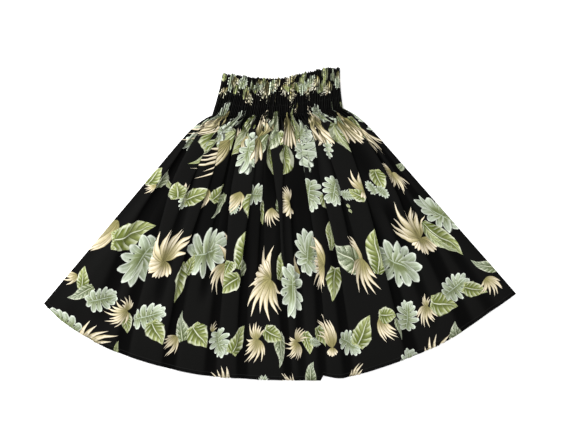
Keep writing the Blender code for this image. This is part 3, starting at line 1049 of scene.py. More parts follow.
# Columns: kind, x, y, size, turn, shape
UPPER_BAND = (
    (H, 211, 117, 30, 60, 0.80), (H, 222, 113, 22, 40, 0.80), (H, 228, 130, 36, 192, 0.60),
    (H, 248, 154, 37, 186, 0.62), (W, 276, 130, 38, 185, 0.40), (H, 306, 152, 38, 176, 0.80),
    (H, 304, 131, 22, 5, 0.65), (H, 320, 114, 24, 20, 0.80), (S, 338, 124, 18, 150, 0.70),
    (H, 366, 124, 32, 128, 0.55), (T, 347, 112, 20, 120, 0.60), (H, 376, 134, 20, 135, 0.50),
    (F, 226, 110, 50, 221, 50), (F, 231, 140, 46, 216, 74), (C, 206, 152, 36, 225, 0.32),
    (C, 243, 136, 44, 207, 0.46), (F, 259, 137, 26, 2, 64), (F, 259, 137, 26, 184, -32),
    (C, 268, 160, 30, 175, 0.40), (F, 288, 112, 42, 183, -46), (C, 288, 160, 31, 184, 0.72),
    (C, 295, 122, 36, 4, 0.24), (F, 316, 114, 41, 172, -52), (F, 319, 126, 22, 338, 50),
    (C, 338, 143, 44, 157, 0.30), (F, 344, 115, 52, 138, 66), (F, 346, 119, 32, 168, -44),
    (F, 289, 88, 20, 162, 30), (F, 295, 102, 15, 182, 30),
)
UPPER_GARLAND = (
    (C, 172, 186, 22, 140, 0.25), (W, 165, 177, 32, 10, 0.50), (T, 155, 176, 24, 30, 0.70),
    (F, 155, 184, 14, 200, 90), (S, 184, 201, 20, 150, 0.90), (F, 177, 200, 25, 30, 40),
    (T, 178, 190, 20, 350, 0.85), (T, 198, 195, 26, 75, 0.80), (F, 211, 190, 29, 200, 75),
    (W, 220, 207, 30, 220, 0.50), (T, 219, 192, 21, 45, 0.85), (M, 231, 205, 16, 180, 0.80),
    (F, 240, 192, 26, 195, 76), (T, 246, 207, 27, 175, 0.60), (S, 257, 194, 21, 100, 0.95),
    (T, 262, 211, 29, 165, 0.52), (W, 277, 198, 33, 0, 0.55), (F, 276, 208, 18, 180, 90),
    (F, 289, 203, 20, 335, 120), (F, 289, 203, 17, 200, -120), (S, 309, 195, 31, 190, 0.80),
    (T, 324, 205, 25, 140, 0.70), (S, 333, 191, 29, 200, 0.85), (M, 347, 195, 15, 90, 0.90),
    (T, 356, 194, 18, 300, 0.80), (F, 361, 190, 25, 325, 84), (F, 361, 190, 12, 145, -100),
    (C, 348, 206, 5, 150, 0.60), (C, 350, 211, 5, 150, 0.60), (S, 371, 188, 15, 330, 0.80),
    (T, 379, 181, 25, 165, 0.78), (S, 382, 192, 15, 125, 0.80), (W, 401, 166, 15, 40, 0.60),
    (F, 392, 173, 22, 305, 84), (F, 392, 173, 14, 225, -70), (F, 392, 173, 26, 133, 118),
)
LOWER_BAND = (
    (F, 119, 222, 46, 222, 66), (T, 134, 233, 52, 78, 0.66), (H, 139, 259, 52, 206, 0.92),
    (F, 168, 262, 22, 246, -200), (F, 168, 262, 46, 2, 128), (S, 208, 252, 43, 84, 1.15),
    (T, 187, 263, 22, 20, 0.60), (T, 180, 284, 42, 181, 0.50), (F, 223, 263, 34, 5, 36),
    (F, 223, 263, 28, 222, 62), (C, 238, 247, 44, 10, 0.48), (W, 243, 262, 32, 352, 0.50),
    (T, 227, 270, 17, 200, 0.90), (T, 229, 285, 25, 235, 0.84), (C, 280, 263, 34, 8, 0.45),
    (F, 272, 280, 38, 335, 36), (F, 272, 280, 27, 288, -120), (F, 272, 280, 45, 208, 132),
    (H, 291, 290, 48, 187, 0.75), (F, 302, 274, 24, 322, 26), (H, 307, 252, 40, 12, 0.85),
    (W, 347, 256, 46, 300, 0.62), (C, 326, 236, 30, 355, 0.28), (F, 330, 264, 44, 331, 34),
    (F, 330, 264, 22, 272, -60), (F, 330, 264, 30, 222, 70), (T, 333, 285, 34, 188, 0.56),
    (C, 370, 252, 50, 0, 0.44), (F, 364, 262, 36, 338, 12), (F, 366, 258, 43, 199, 96),
    (H, 400, 264, 50, 110, 1.00), (H, 437, 213, 46, 305, 0.85), (F, 424, 236, 22, 165, -140),
    (F, 424, 236, 30, 340, 60), (F, 424, 236, 48, 296, 96), (C, 443, 238, 54, 128, 0.46),
)
LOWER_GARLAND = (
    (F, 77, 275, 19, 235, 80), (T, 83, 277, 23, 5, 0.62), (W, 81, 294, 30, 245, 0.42),
    (S, 102, 299, 34, 80, 0.72), (T, 127, 324, 21, 170, 0.60), (F, 128, 311, 18, 10, 84),
    (F, 128, 311, 24, 232, 130), (S, 148, 316, 35, 78, 0.75), (T, 157, 333, 28, 150, 0.68),
    (W, 181, 326, 33, 352, 0.52), (F, 176, 336, 24, 208, 120), (T, 200, 337, 29, 140, 0.82),
    (F, 213, 332, 11, 350, 74), (S, 220, 343, 29, 150, 0.85), (T, 238, 339, 31, 30, 0.64),
    (F, 258, 339, 20, 340, 100), (F, 258, 339, 26, 195, 120), (W, 280, 350, 36, 180, 0.42),
    (T, 274, 335, 24, 115, 0.75), (T, 308, 343, 22, 170, 0.66), (F, 299, 342, 18, 20, 90),
    (F, 299, 342, 21, 215, 150), (M, 315, 342, 12, 90, 0.90), (T, 322, 337, 21, 150, 0.70),
    (F, 334, 347, 30, 345, 70), (F, 334, 347, 10, 180, -90), (S, 350, 343, 28, 110, 0.85),
    (T, 363, 330, 34, 25, 0.64), (F, 380, 317, 28, 160, 55), (W, 399, 329, 23, 160, 0.42),
    (T, 388, 315, 19, 90, 0.92), (S, 408, 315, 31, 10, 0.76), (F, 428, 306, 14, 330, 80),
    (F, 428, 306, 24, 200, 110), (T, 445, 304, 31, 95, 0.76), (S, 456, 286, 31, 50, 0.86),
    (T, 476, 289, 25, 100, 0.70), (W, 484, 266, 29, 290, 0.46), (F, 486, 278, 22, 135, 130),
)
BAND_GARLAND = (
    (C, 224, 77, 11, 170, 0.55), (M, 231, 82, 17, 190, 0.50), (F, 235, 76, 17, 176, 60),
    (T, 236, 91, 10, 190, 0.60), (S, 243, 82, 15, 20, 0.55), (F, 228, 88, 12, 235, 50),
    (W, 251, 83, 15, 0, 0.16), (T, 246, 93, 13, 200, 0.55), (F, 248, 90, 16, 186, 50),
    (T, 256, 90, 10, 170, 0.70), (F, 260, 79, 14, 178, 60), (W, 264, 87, 11, 190, 0.60),
    (F, 267, 82, 19, 172, 60), (C, 264, 79, 8, 10, 0.40), (S, 273, 86, 15, 172, 0.55),
    (F, 278, 76, 16, 172, 50), (F, 283, 85, 15, 135, 70), (F, 290, 92, 14, 165, 50),
    (F, 293, 81, 13, 330, 130), (F, 292, 84, 12, 150, 80), (T, 298, 88, 12, 150, 0.60),
    (C, 303, 80, 16, 185, 0.42), (S, 303, 88, 13, 170, 0.60), (S, 310, 83, 15, 10, 0.60),
    (F, 309, 88, 8, 170, 90), (F, 318, 76, 16, 180, 55), (W, 320, 87, 11, 20, 0.60),
    (C, 325, 74, 15, 170, 0.45), (T, 323, 84, 13, 10, 0.60), (F, 330, 81, 16, 176, 60),
    (W, 333, 74, 14, 0, 0.30), (F, 338, 72, 15, 182, 60), (M, 337, 83, 11, 170, 0.60),
    (T, 287, 88, 10, 300, 0.60), (S, 258, 87, 9, 100, 0.70),
)
HEM_TIPS = (
    (S, 64, 324, 44, 305, 0.50), (F, 80, 350, 38, 42, 80), (C, 116, 350, 20, 10, 0.30),
    (F, 222, 393, 29, 5, 75), (M, 264, 386, 18, 0, 0.90), (F, 291, 396, 27, 0, 60),
    (W, 311, 373, 26, 14, 0.50), (F, 353, 390, 31, 12, 75), (S, 410, 363, 28, 8, 0.85),
    (F, 438, 364, 32, 345, 95), (W, 456, 334, 26, 346, 0.66),
)


@dataclass
class LeafPrint:
    """The leaf print of one half, laid out on its flat cloth in metres along and down."""

    cloth: FoldedHalf
    mirrored: bool = False
    # Rows of leaves behind the charted ones: level, size and count
    thick_rows: tuple[tuple[float, float, int], ...] = (
        (0.046, 0.046, 13), (0.068, 0.062, 14), (0.090, 0.050, 6)
    )
    thick_fan: float = 60.0
    thick_leaf: float = 0.80
    # Where the gathers end, and how much wider and finer leaves are drawn in them
    gathers_end: float = 0.17
    gathers_ease: float = 0.07
    widened: tuple[float, float] = (0.50, 0.45)
    finer_share: float = 0.60
    # How far a leaf may be shifted to where it shows, and how far astray outweighs showing whole
    shift_reach: float = 0.06
    shift_tries: int = 41
    astray: float = 0.022
    fan_middle: float = 0.35
    band_middle: float = -0.05
    # The band's leaves are coloured brighter than the skirt's: a painted highlight on the gathers, which also
    # makes up for the painted fold shade there
    band_highlight_gain: tuple[float, float] = (1.65, 2.35)
    shapes: LeafShapes = field(default_factory=LeafShapes)
    hubs: dict[tuple[float, float], Array] = field(default_factory=dict)

    def chart(self) -> list[Leaf]:
        """Every leaf of the chart, the lowest first."""
        rows = HEM_TIPS + LOWER_BAND + LOWER_GARLAND + UPPER_BAND + UPPER_GARLAND
        return [Leaf(*row) for row in rows]

    def thick_blades(self) -> list[Blade]:
        """Blades of the leaves that lie thickly behind the charted ones in the upper band.

        Returns:
            The blades on the flat cloth, the lowest first.
        """
        rng = np.random.default_rng(5)
        kinds = (C, T, S, W, F, C, M, T, W, C, F, S)
        blades = []
        for level, size, count in self.thick_rows:
            for index in range(count):
                kind = kinds[(index * 5 + count) % len(kinds)]
                along = (index + 0.5 + rng.uniform(-0.3, 0.3)) * self.cloth.cloth / count
                turn = math.pi + rng.uniform(-0.9, 0.9) * (1.0 if index % 3 else 2.4)
                matrix = np.array([[math.cos(turn), math.sin(turn)], [math.sin(turn), -math.cos(turn)]])
                scale = size * rng.uniform(0.85, 1.25)
                place = np.array([along, level + rng.uniform(-0.010, 0.010)])
                place = place - matrix @ HALF_UP * scale
                shape = self.thick_fan if kind is F else self.thick_leaf
                drawn = self.shapes.leaf(kind, shape, index + count)
                blades += [blade.moved(matrix, place, scale) for blade in drawn]
        return blades

    def spread_in_gathers(self, level: float, kind: Kind) -> float:
        """How much wider a leaf is drawn where the gathers press the print together."""
        gathered = self.cloth.cloth / self.cloth.shown_width(level)
        power = self.widened[kind is Kind.FAN]
        return float(mix(1.0, gathered**power, ease((self.gathers_end - level) / self.gathers_ease)))

    def best_shown(self, place: Array, matrix: Array, scale: float, middle: Array, wanted: Array) -> Array:
        """Shift a leaf a little along the cloth to where the folds show most of it.

        Args:
            place: its place on the flat cloth.
            matrix: its turn on the cloth.
            scale: its length in metres.
            middle: its middle in its own units.
            wanted: where in plan its middle belongs.

        Returns:
            The shifted place.
        """
        beside, along_it = (-0.32, -0.16, 0.0, 0.16, 0.32), (-0.4, -0.2, 0.0, 0.2, 0.4)
        grid = np.array([(u, v) for u in beside for v in along_it])
        spots = (grid + middle) @ matrix.T * scale
        shifts = np.linspace(-self.shift_reach, self.shift_reach, self.shift_tries)
        along = np.clip((place[0] + spots[None, :, 0] + shifts[:, None]) / self.cloth.cloth, 0.0, 1.0)
        level = np.broadcast_to(np.clip(place[1] + spots[:, 1], 0.0, self.cloth.length), along.shape)
        shown = self.cloth.shown_share(along, level) + 1e-6
        x, y, _, _ = self.cloth.at(along.reshape(-1), level.reshape(-1))
        x, y = x.reshape(along.shape), y.reshape(along.shape)
        seen_x, seen_y = ((part * shown).sum(axis=1) / shown.sum(axis=1) for part in (x, y))
        off = np.hypot(seen_x - wanted[0], seen_y - wanted[1])
        best = int(np.argmax(shown.mean(axis=1) - off / self.astray))
        return place + np.array([float(shifts[best]), 0.0])

    def laid(self, leaf: Leaf, seed: int, spread: float = 0.0) -> list[Blade]:
        """Blades of one charted leaf, put on the cloth that lies outermost at its place.

        Args:
            leaf: the leaf.
            seed: number that settles its small unevenness.
            spread: how much wider it is drawn, or 0 for what its level in the gathers asks.

        Returns:
            The blades on the flat cloth, the lowest first.
        """
        x = (leaf.x - CHART_MIDDLE[0]) * CHART_SQUARE
        y = (CHART_MIDDLE[1] - leaf.y) * CHART_SQUARE - self.cloth.plan.middle_y
        across, level = self.cloth.locate(x, y)
        turn = math.radians(leaf.turn)
        side, down = self.cloth.axes(across, level)
        if self.mirrored:
            across = 1.0 - across
        way = np.array([math.sin(turn), math.cos(turn)])
        beside = np.array([way[1], -way[0]])
        matrix = np.column_stack([(beside @ side, beside @ down), (way @ side, way @ down)])
        if self.mirrored:
            matrix[0] = -matrix[0]
        gathered = self.spread_in_gathers(level, leaf.kind)
        matrix[0] = matrix[0] * (spread or gathered)
        scale = leaf.size * CHART_SQUARE
        middle = np.array([0.0, self.fan_middle if leaf.kind is Kind.FAN else 0.0])
        place = np.array([self.cloth.outermost(across, level) * self.cloth.cloth, level])
        if not spread:
            wanted = np.array([x, y]) + way * middle[1] * scale
            if (leaf.x, leaf.y) not in self.hubs:
                self.hubs[leaf.x, leaf.y] = self.best_shown(place, matrix, scale, middle, wanted)
            place = self.hubs[leaf.x, leaf.y]
        if leaf.kind is not Kind.FAN:
            place = place - matrix @ HALF_UP * scale
        finer = 1.0 if spread else 1.0 + self.finer_share * (gathered - 1.0)
        drawn = self.shapes.leaf(leaf.kind, leaf.shape, seed, finer)
        return [blade.moved(matrix, place, scale) for blade in drawn]

    def skirt_blades(self) -> list[Blade]:
        """Blades of all the leaves on the skirt, the lowest first.

        Returns:
            The blades on the flat cloth.
        """
        chart = self.chart()
        for leaf in sorted(chart, key=lambda leaf: -leaf.size):
            self.laid(leaf, 0)
        blades = self.thick_blades()
        for index, leaf in enumerate(chart):
            blades += self.laid(leaf, index)
        return blades

    def band_blades(self) -> list[Blade]:
        """Blades of the garland that runs through the waistband.

        Returns:
            The blades on the flat cloth.
        """
        rng = np.random.default_rng(12)
        spread = self.cloth.cloth / self.cloth.shown_width(self.band_middle)
        blades = []
        for index, row in enumerate(BAND_GARLAND):
            for blade in self.laid(Leaf(*row), index, spread):
                # Painted highlight: the band's leaves are made brighter than the same print on the skirt
                blades.append(blade.brighter(rng.uniform(*self.band_highlight_gain)))
        return blades


# The mesh's columns and row height by level. Columns: from, to, columns, row height
MESH_ZONES = (
    (-0.120, 0.000, 800, 0.0090),
    (0.000, 0.045, 540, 0.0050),
    (0.045, 0.160, 350, 0.0082),
    (0.160, 0.660, 210, 0.0134),
)


@dataclass
class ClothPiece:
    """One cut piece of printed cloth: meshed flat with its print cut in, then laid in its folds."""

    name: str
    node: str
    slot: str
    cloth: FoldedHalf
    blades: list[Blade]
    first: float
    last: float
    thickness: float = 0.0004
    # Longest steps of an outline, in steps of the mesh along and down
    longest: tuple[float, float] = (1.5, 1.8)
    step_outside: tuple[float, float] = (0.004, 0.010)
    edge_step: float = 0.010
    edge_finer: float = 1.2
    off_edge: tuple[float, float] = (1e-4, 1e-3)
    # The mesh is cut with its length squeezed, so that its triangles are longer down than along
    squeeze: tuple[float, float] = (1.0, 0.4)
    weld: float = 1.5e-4
    least_area: float = 1e-12
    # A blade whose triangles cover more than this many times its area, and this many square metres, has spilt
    spilt: tuple[float, float] = (1.3, 2e-5)

    def spacing(self, level: float) -> tuple[float, float]:
        """Longest steps along and down at a level."""
        for start, end, columns, row in MESH_ZONES:
            if start <= level < end:
                return self.longest[0] * self.cloth.cloth / columns, self.longest[1] * row
        return self.step_outside

    def lattice(self) -> Array:
        """Points of the plain cloth between the print's edges.

        Returns:
            The points, in metres along and down.
        """
        rows = []
        wide = self.cloth.cloth
        for start, end, columns, row in MESH_ZONES:
            low, high = max(start, self.first), min(end, self.last)
            if high - low < 1e-6:
                continue
            count = max(1, int(round((high - low) / row)))
            for k in range(count + (1 if high == self.last else 0)):
                level = low + (high - low) * k / count
                shift = 0.25 * (k % 2) * wide / columns
                inner = np.linspace(0.0, wide, columns + 1)[1:-1] + shift
                along = np.concatenate([[0.0], inner, [wide]])
                rows.append(np.column_stack([along, np.full(len(along), level)]))
        return np.concatenate(rows)

    def refined(self, outline: Array) -> Array:
        """An outline with no step longer than the mesh's.

        Args:
            outline: the outline's points, in metres along and down.

        Returns:
            Its points with new ones between them, from a quarter of the way round.
        """
        points = []
        for k in range(len(outline)):
            here, there = outline[k], outline[(k + 1) % len(outline)]
            along, down = self.spacing(float(here[1]))
            steps = max(abs(there[0] - here[0]) / along, abs(there[1] - here[1]) / down)
            pieces = int(max(1, math.ceil(steps)))
            points += [mix(here, there, part / pieces) for part in range(pieces)]
        return np.roll(np.array(points), -(len(points) // 4), axis=0)

    def border(self) -> Array:
        """Points of the piece's cut edge, all round.

        Returns:
            The points, in metres along and down.
        """
        wide = self.cloth.cloth
        ends = ((0.0, self.first), (wide, self.first), (wide, self.last), (0.0, self.last))
        run = []
        for k in range(4):
            here, there = np.array(ends[k]), np.array(ends[(k + 1) % 4])
            along, _ = self.spacing(float(here[1]) - self.off_edge[0] * (k == 2))
            steps = self.edge_finer * wide / along
            if k % 2 == 1:
                steps = (self.last - self.first) / self.edge_step
            count = int(math.ceil(steps))
            run += [mix(here, there, part / count) for part in range(count)]
        return np.array(run)

    def within(self, low: Array, high: Array) -> bool:
        """Whether a box on the flat cloth reaches into the piece."""
        beside = high[0] < 0.0 or low[0] > self.cloth.cloth
        return not (beside or high[1] < self.first or low[1] > self.last)

    def build(self) -> bpy.types.Object:
        """Make the piece.

        Returns:
            Its object, thickened, with the print's data on its corners.
        """
        wide = self.cloth.cloth
        border, lattice = self.border(), self.lattice()
        beside, over = self.off_edge
        inner = (lattice[:, 0] > beside) & (lattice[:, 0] < wide - beside)
        inner &= (lattice[:, 1] > self.first + over) & (lattice[:, 1] < self.last - over)
        points = [border, lattice[inner]]
        edges = [(k, (k + 1) % len(border)) for k in range(len(border))]
        total = len(points[0]) + len(points[1])
        faces, used, areas = [], [], []
        for blade in self.blades:
            if not self.within(blade.outline.min(axis=0), blade.outline.max(axis=0)):
                continue
            outline = self.refined(blade.outline)
            after = np.roll(outline, -1, axis=0)
            area = (outline[:, 0] * after[:, 1] - outline[:, 1] * after[:, 0]).sum() / 2.0
            if area < 0:
                outline = outline[::-1]
            points.append(outline)
            faces.append(list(range(total, total + len(outline))))
            total += len(outline)
            used.append(blade)
            areas.append(abs(area))
        flat = np.concatenate(points) * self.squeeze
        cut = delaunay_2d_cdt([Vector(p) for p in flat], edges, faces, 0, self.weld, True)
        places = np.array([tuple(v) for v in cut[0]]) / self.squeeze
        triangles, origins = np.array(cut[2]), cut[5]
        doubled = self.doubled_areas(places, triangles)
        covered = np.zeros(len(used))
        for size, origin in zip(np.abs(doubled) / 2.0, origins):
            for k in origin:
                covered[k] += size
        whole = covered < self.spilt[0] * np.array(areas) + self.spilt[1]
        LOG.info("%s: %d of %d blades cut in", self.name, int(whole.sum()), len(used))
        tops = np.array([max((k for k in origin if whole[k]), default=-1) for origin in origins])
        middle = places[triangles].mean(axis=1)
        kept = (middle[:, 0] > 0.0) & (middle[:, 0] < wide)
        kept &= (middle[:, 1] > self.first) & (middle[:, 1] < self.last)
        kept &= np.abs(doubled) > self.least_area
        triangles, tops, doubled = triangles[kept], tops[kept], doubled[kept]
        wrong = doubled > 0 if self.cloth.faces_up else doubled < 0
        triangles[wrong] = triangles[wrong][:, ::-1]
        held, triangles = np.unique(triangles, return_inverse=True)
        return self.object_of(places[held], triangles.reshape(-1, 3), tops, used)

    def doubled_areas(self, places: Array, triangles: Array) -> Array:
        """Twice the area of each flat triangle, above 0 where it runs anticlockwise."""
        a, b, c = places[triangles[:, 0]], places[triangles[:, 1]], places[triangles[:, 2]]
        return (b[:, 0] - a[:, 0]) * (c[:, 1] - a[:, 1]) - (b[:, 1] - a[:, 1]) * (c[:, 0] - a[:, 0])

    def object_of(self, places: Array, triangles: Array, tops: Array, used: list[Blade]) -> bpy.types.Object:
        """Fold the flat mesh and make it an object.

        Args:
            places: flat places of the points, in metres along and down.
            triangles: three points each.
            tops: each triangle's uppermost blade, or -1 for the ground.
            used: the blades.

        Returns:
            The object.
        """
        wide = self.cloth.cloth
        x, y, z, sunk = self.cloth.at(places[:, 0] / wide, places[:, 1])
        mesh = bpy.data.meshes.new(self.name)
        mesh.from_pydata(np.column_stack([x, y, z]).tolist(), [], triangles.tolist())
        corners = triangles.reshape(-1)
        flat = places[corners]
        self.write_print(mesh, flat, tops, used)
        self.write_corners(mesh, "cloth_place", "FLOAT_VECTOR", np.column_stack([flat, sunk[corners]]))
        layer = mesh.uv_layers.new(name=CLOTH_MAP)
        along = MAP_MARGIN + MAP_SHARE * flat[:, 0] / wide
        down = 1.0 - MAP_MARGIN - MAP_SHARE * (flat[:, 1] - self.first) / wide
        layer.data.foreach_set("uv", np.column_stack([along, down]).reshape(-1))
        mesh.polygons.foreach_set("use_smooth", [True] * len(mesh.polygons))
        mesh.update()
        made = bpy.data.objects.new(self.name, mesh)
        bpy.context.scene.collection.objects.link(made)
        thick = made.modifiers.new("thickness", "SOLIDIFY")
        thick.thickness = self.thickness
        thick.offset = -1.0
        thick.use_even_offset = False
        return made

    def write_print(self, mesh: bpy.types.Mesh, flat: Array, tops: Array, used: list[Blade]) -> None:
        """Write each leaf's colours and the place on it to the corners that it covers.

        Args:
            mesh: the piece's mesh.
            flat: flat places of its corners.
            tops: each triangle's uppermost blade, or -1 for the ground.
            used: the blades.
        """
        root, tip, leaf = (np.zeros((len(flat), parts)) for parts in (4, 4, 3))
        order = np.argsort(tops, kind="stable")
        starts = np.searchsorted(tops[order], np.arange(len(used)))
        ends = np.searchsorted(tops[order], np.arange(len(used)), side="right")
        for blade, start, end in zip(used, starts, ends):
            if start == end:
                continue
            loops = (order[start:end, None] * 3 + np.arange(3)).reshape(-1)
            tint = blade.tint
            root[loops] = (*tint.root, float(tint.veins != HOLE))
            tip[loops] = (*tint.tip, tint.spots)
            leaf[loops, :2] = blade.read(flat[loops])
            leaf[loops, 2] = tint.veins
        self.write_corners(mesh, "leaf_root", "FLOAT_COLOR", root)
        self.write_corners(mesh, "leaf_tip", "FLOAT_COLOR", tip)
        self.write_corners(mesh, "leaf_place", "FLOAT_VECTOR", leaf)

    def write_corners(self, mesh: bpy.types.Mesh, label: str, kind: str, values: Array) -> None:
        """Store values on the mesh's corners under a label."""
        entry = "color" if kind == "FLOAT_COLOR" else "vector"
        mesh.attributes.new(label, kind, "CORNER").data.foreach_set(entry, values.reshape(-1))

    def declare(self, made: bpy.types.Object) -> None:
        """Attach the piece to the root body and hide the solid that it stands in for."""
        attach(made, "root")
        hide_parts(self.node)
        self.last - self.first


class Value:
    """A shader socket that maths can be written with."""

    def __init__(self, nodes: "Nodes", socket: Any) -> None:
        """Wrap a socket."""
        self.nodes = nodes
        self.socket = socket

    def _math(self, operation: str, *values: Any) -> "Value":
        """Math node on values."""
        made = self.nodes.node("ShaderNodeMath", {"operation": operation}, dict(enumerate(values)))
        return made["Value"]

    def __add__(self, other: Any) -> "Value":
        """Sum."""
        return self._math("ADD", self, other)

    __radd__ = __add__

    def __sub__(self, other: Any) -> "Value":
        """Difference."""
        return self._math("SUBTRACT", self, other)

    def __rsub__(self, other: Any) -> "Value":
        """Difference from a number."""
        return self._math("SUBTRACT", other, self)

    def __mul__(self, other: Any) -> "Value":
        """Product."""
        return self._math("MULTIPLY", self, other)

    __rmul__ = __mul__

    def __truediv__(self, other: Any) -> "Value":
        """Quotient."""
        return self._math("DIVIDE", self, other)

    def __rtruediv__(self, other: Any) -> "Value":
        """Quotient of a number."""
        return self._math("DIVIDE", other, self)

    def __neg__(self) -> "Value":
        """The value with its sign turned."""
        return 0.0 - self

    def __abs__(self) -> "Value":
        """Size without its sign."""
        return self._math("ABSOLUTE", self)

    def sine(self) -> "Value":
        """Sine."""
        return self._math("SINE", self)

    def fraction(self) -> "Value":
        """Part after the point."""
        return self._math("FRACT", self)

    def most(self, other: Any) -> "Value":
        """Larger of two."""
        return self._math("MAXIMUM", self, other)

    def between(self, low: float, high: float) -> "Value":
        """Soft step from 0 at low to 1 at high."""
        settings = {"interpolation_type": "SMOOTHSTEP"}
        inputs = {"Value": self, "From Min": low, "From Max": high}
        return self.nodes.node("ShaderNodeMapRange", settings, inputs)["Result"]


class Made:
    """The outputs of a node by name."""

    def __init__(self, nodes: "Nodes", node: bpy.types.Node) -> None:
        """Keep the node."""
        self.nodes = nodes
        self.node = node

    def __getitem__(self, name: Any) -> Value:
        """An output as a value."""
        return Value(self.nodes, self.node.outputs[name])


class Nodes:
    """Builds one material's nodes."""

    def __init__(self, name: str) -> None:
        """Start an empty material."""
        self.material = bpy.data.materials.new(name)
        self.material.use_nodes = True
        self.tree = self.material.node_tree
        self.tree.nodes.clear()

    def node(self, kind: str, settings: dict[str, Any], inputs: dict[Any, Any]) -> Made:
        """Any node.

        Args:
            kind: its type.
            settings: its own settings, set first.
            inputs: a number, colour, vector or value for each named or numbered socket.

        Returns:
            The node's outputs.
        """
        made = self.tree.nodes.new(kind)
        for name, setting in settings.items():
            setattr(made, name, setting)
        for name, value in inputs.items():
            if isinstance(value, Value):
                self.tree.links.new(value.socket, made.inputs[name])
            else:
                made.inputs[name].default_value = value
        return Made(self, made)

    def blend(self, share: Any, a: Any, b: Any) -> Value:
        """Mix two colours.

        Args:
            share: 0 for the first, 1 for the second.
            a: first colour.
            b: second colour.

        Returns:
            The mixed colour.
        """
        made = self.node("ShaderNodeMix", {"data_type": "RGBA"}, {0: share, 6: a, 7: b})
        return made[2]

    def attribute(self, name: str) -> Made:
        """A corner attribute of the mesh."""
        return self.node("ShaderNodeAttribute", {"attribute_name": name}, {})

    def parts(self, vector: Value) -> tuple[Value, Value, Value]:
        """The three numbers of a vector."""
        split = self.node("ShaderNodeSeparateXYZ", {}, {0: vector})
        return split["X"], split["Y"], split["Z"]

    def grain(self, place: Value, scale: float, detail: float, roughness: float = 0.5) -> Value:
        """Uneven grain over a place, about 0.5."""
        inputs = {"Vector": place, "Scale": scale, "Detail": detail, "Roughness": roughness}
        return self.node("ShaderNodeTexNoise", {}, inputs)["Fac"]

    def surface(self, shader: Value) -> bpy.types.Material:
        """Close the material with its surface."""
        self.node("ShaderNodeOutputMaterial", {}, {"Surface": shader})
        return self.material


@dataclass(frozen=True)
class LeafSpot:
    """What the shader knows of a spot on a leaf: its place, the leaf's veins and the print's patches."""

    along: Value
    across: Value
    side: Value
    veins: Value
    patches: Value

    def finger(self) -> Value:
        """1 on a palm's finger."""
        return 1.0 - self.veins.between(0.3, 0.7)

    def veined(self) -> Value:
        """1 on a veined leaf."""
        return self.veins.between(1.3, 1.7)

    def lobe(self) -> Value:
        """1 on a smooth lobe."""
        return self.veins.between(0.3, 0.7) - self.veined()


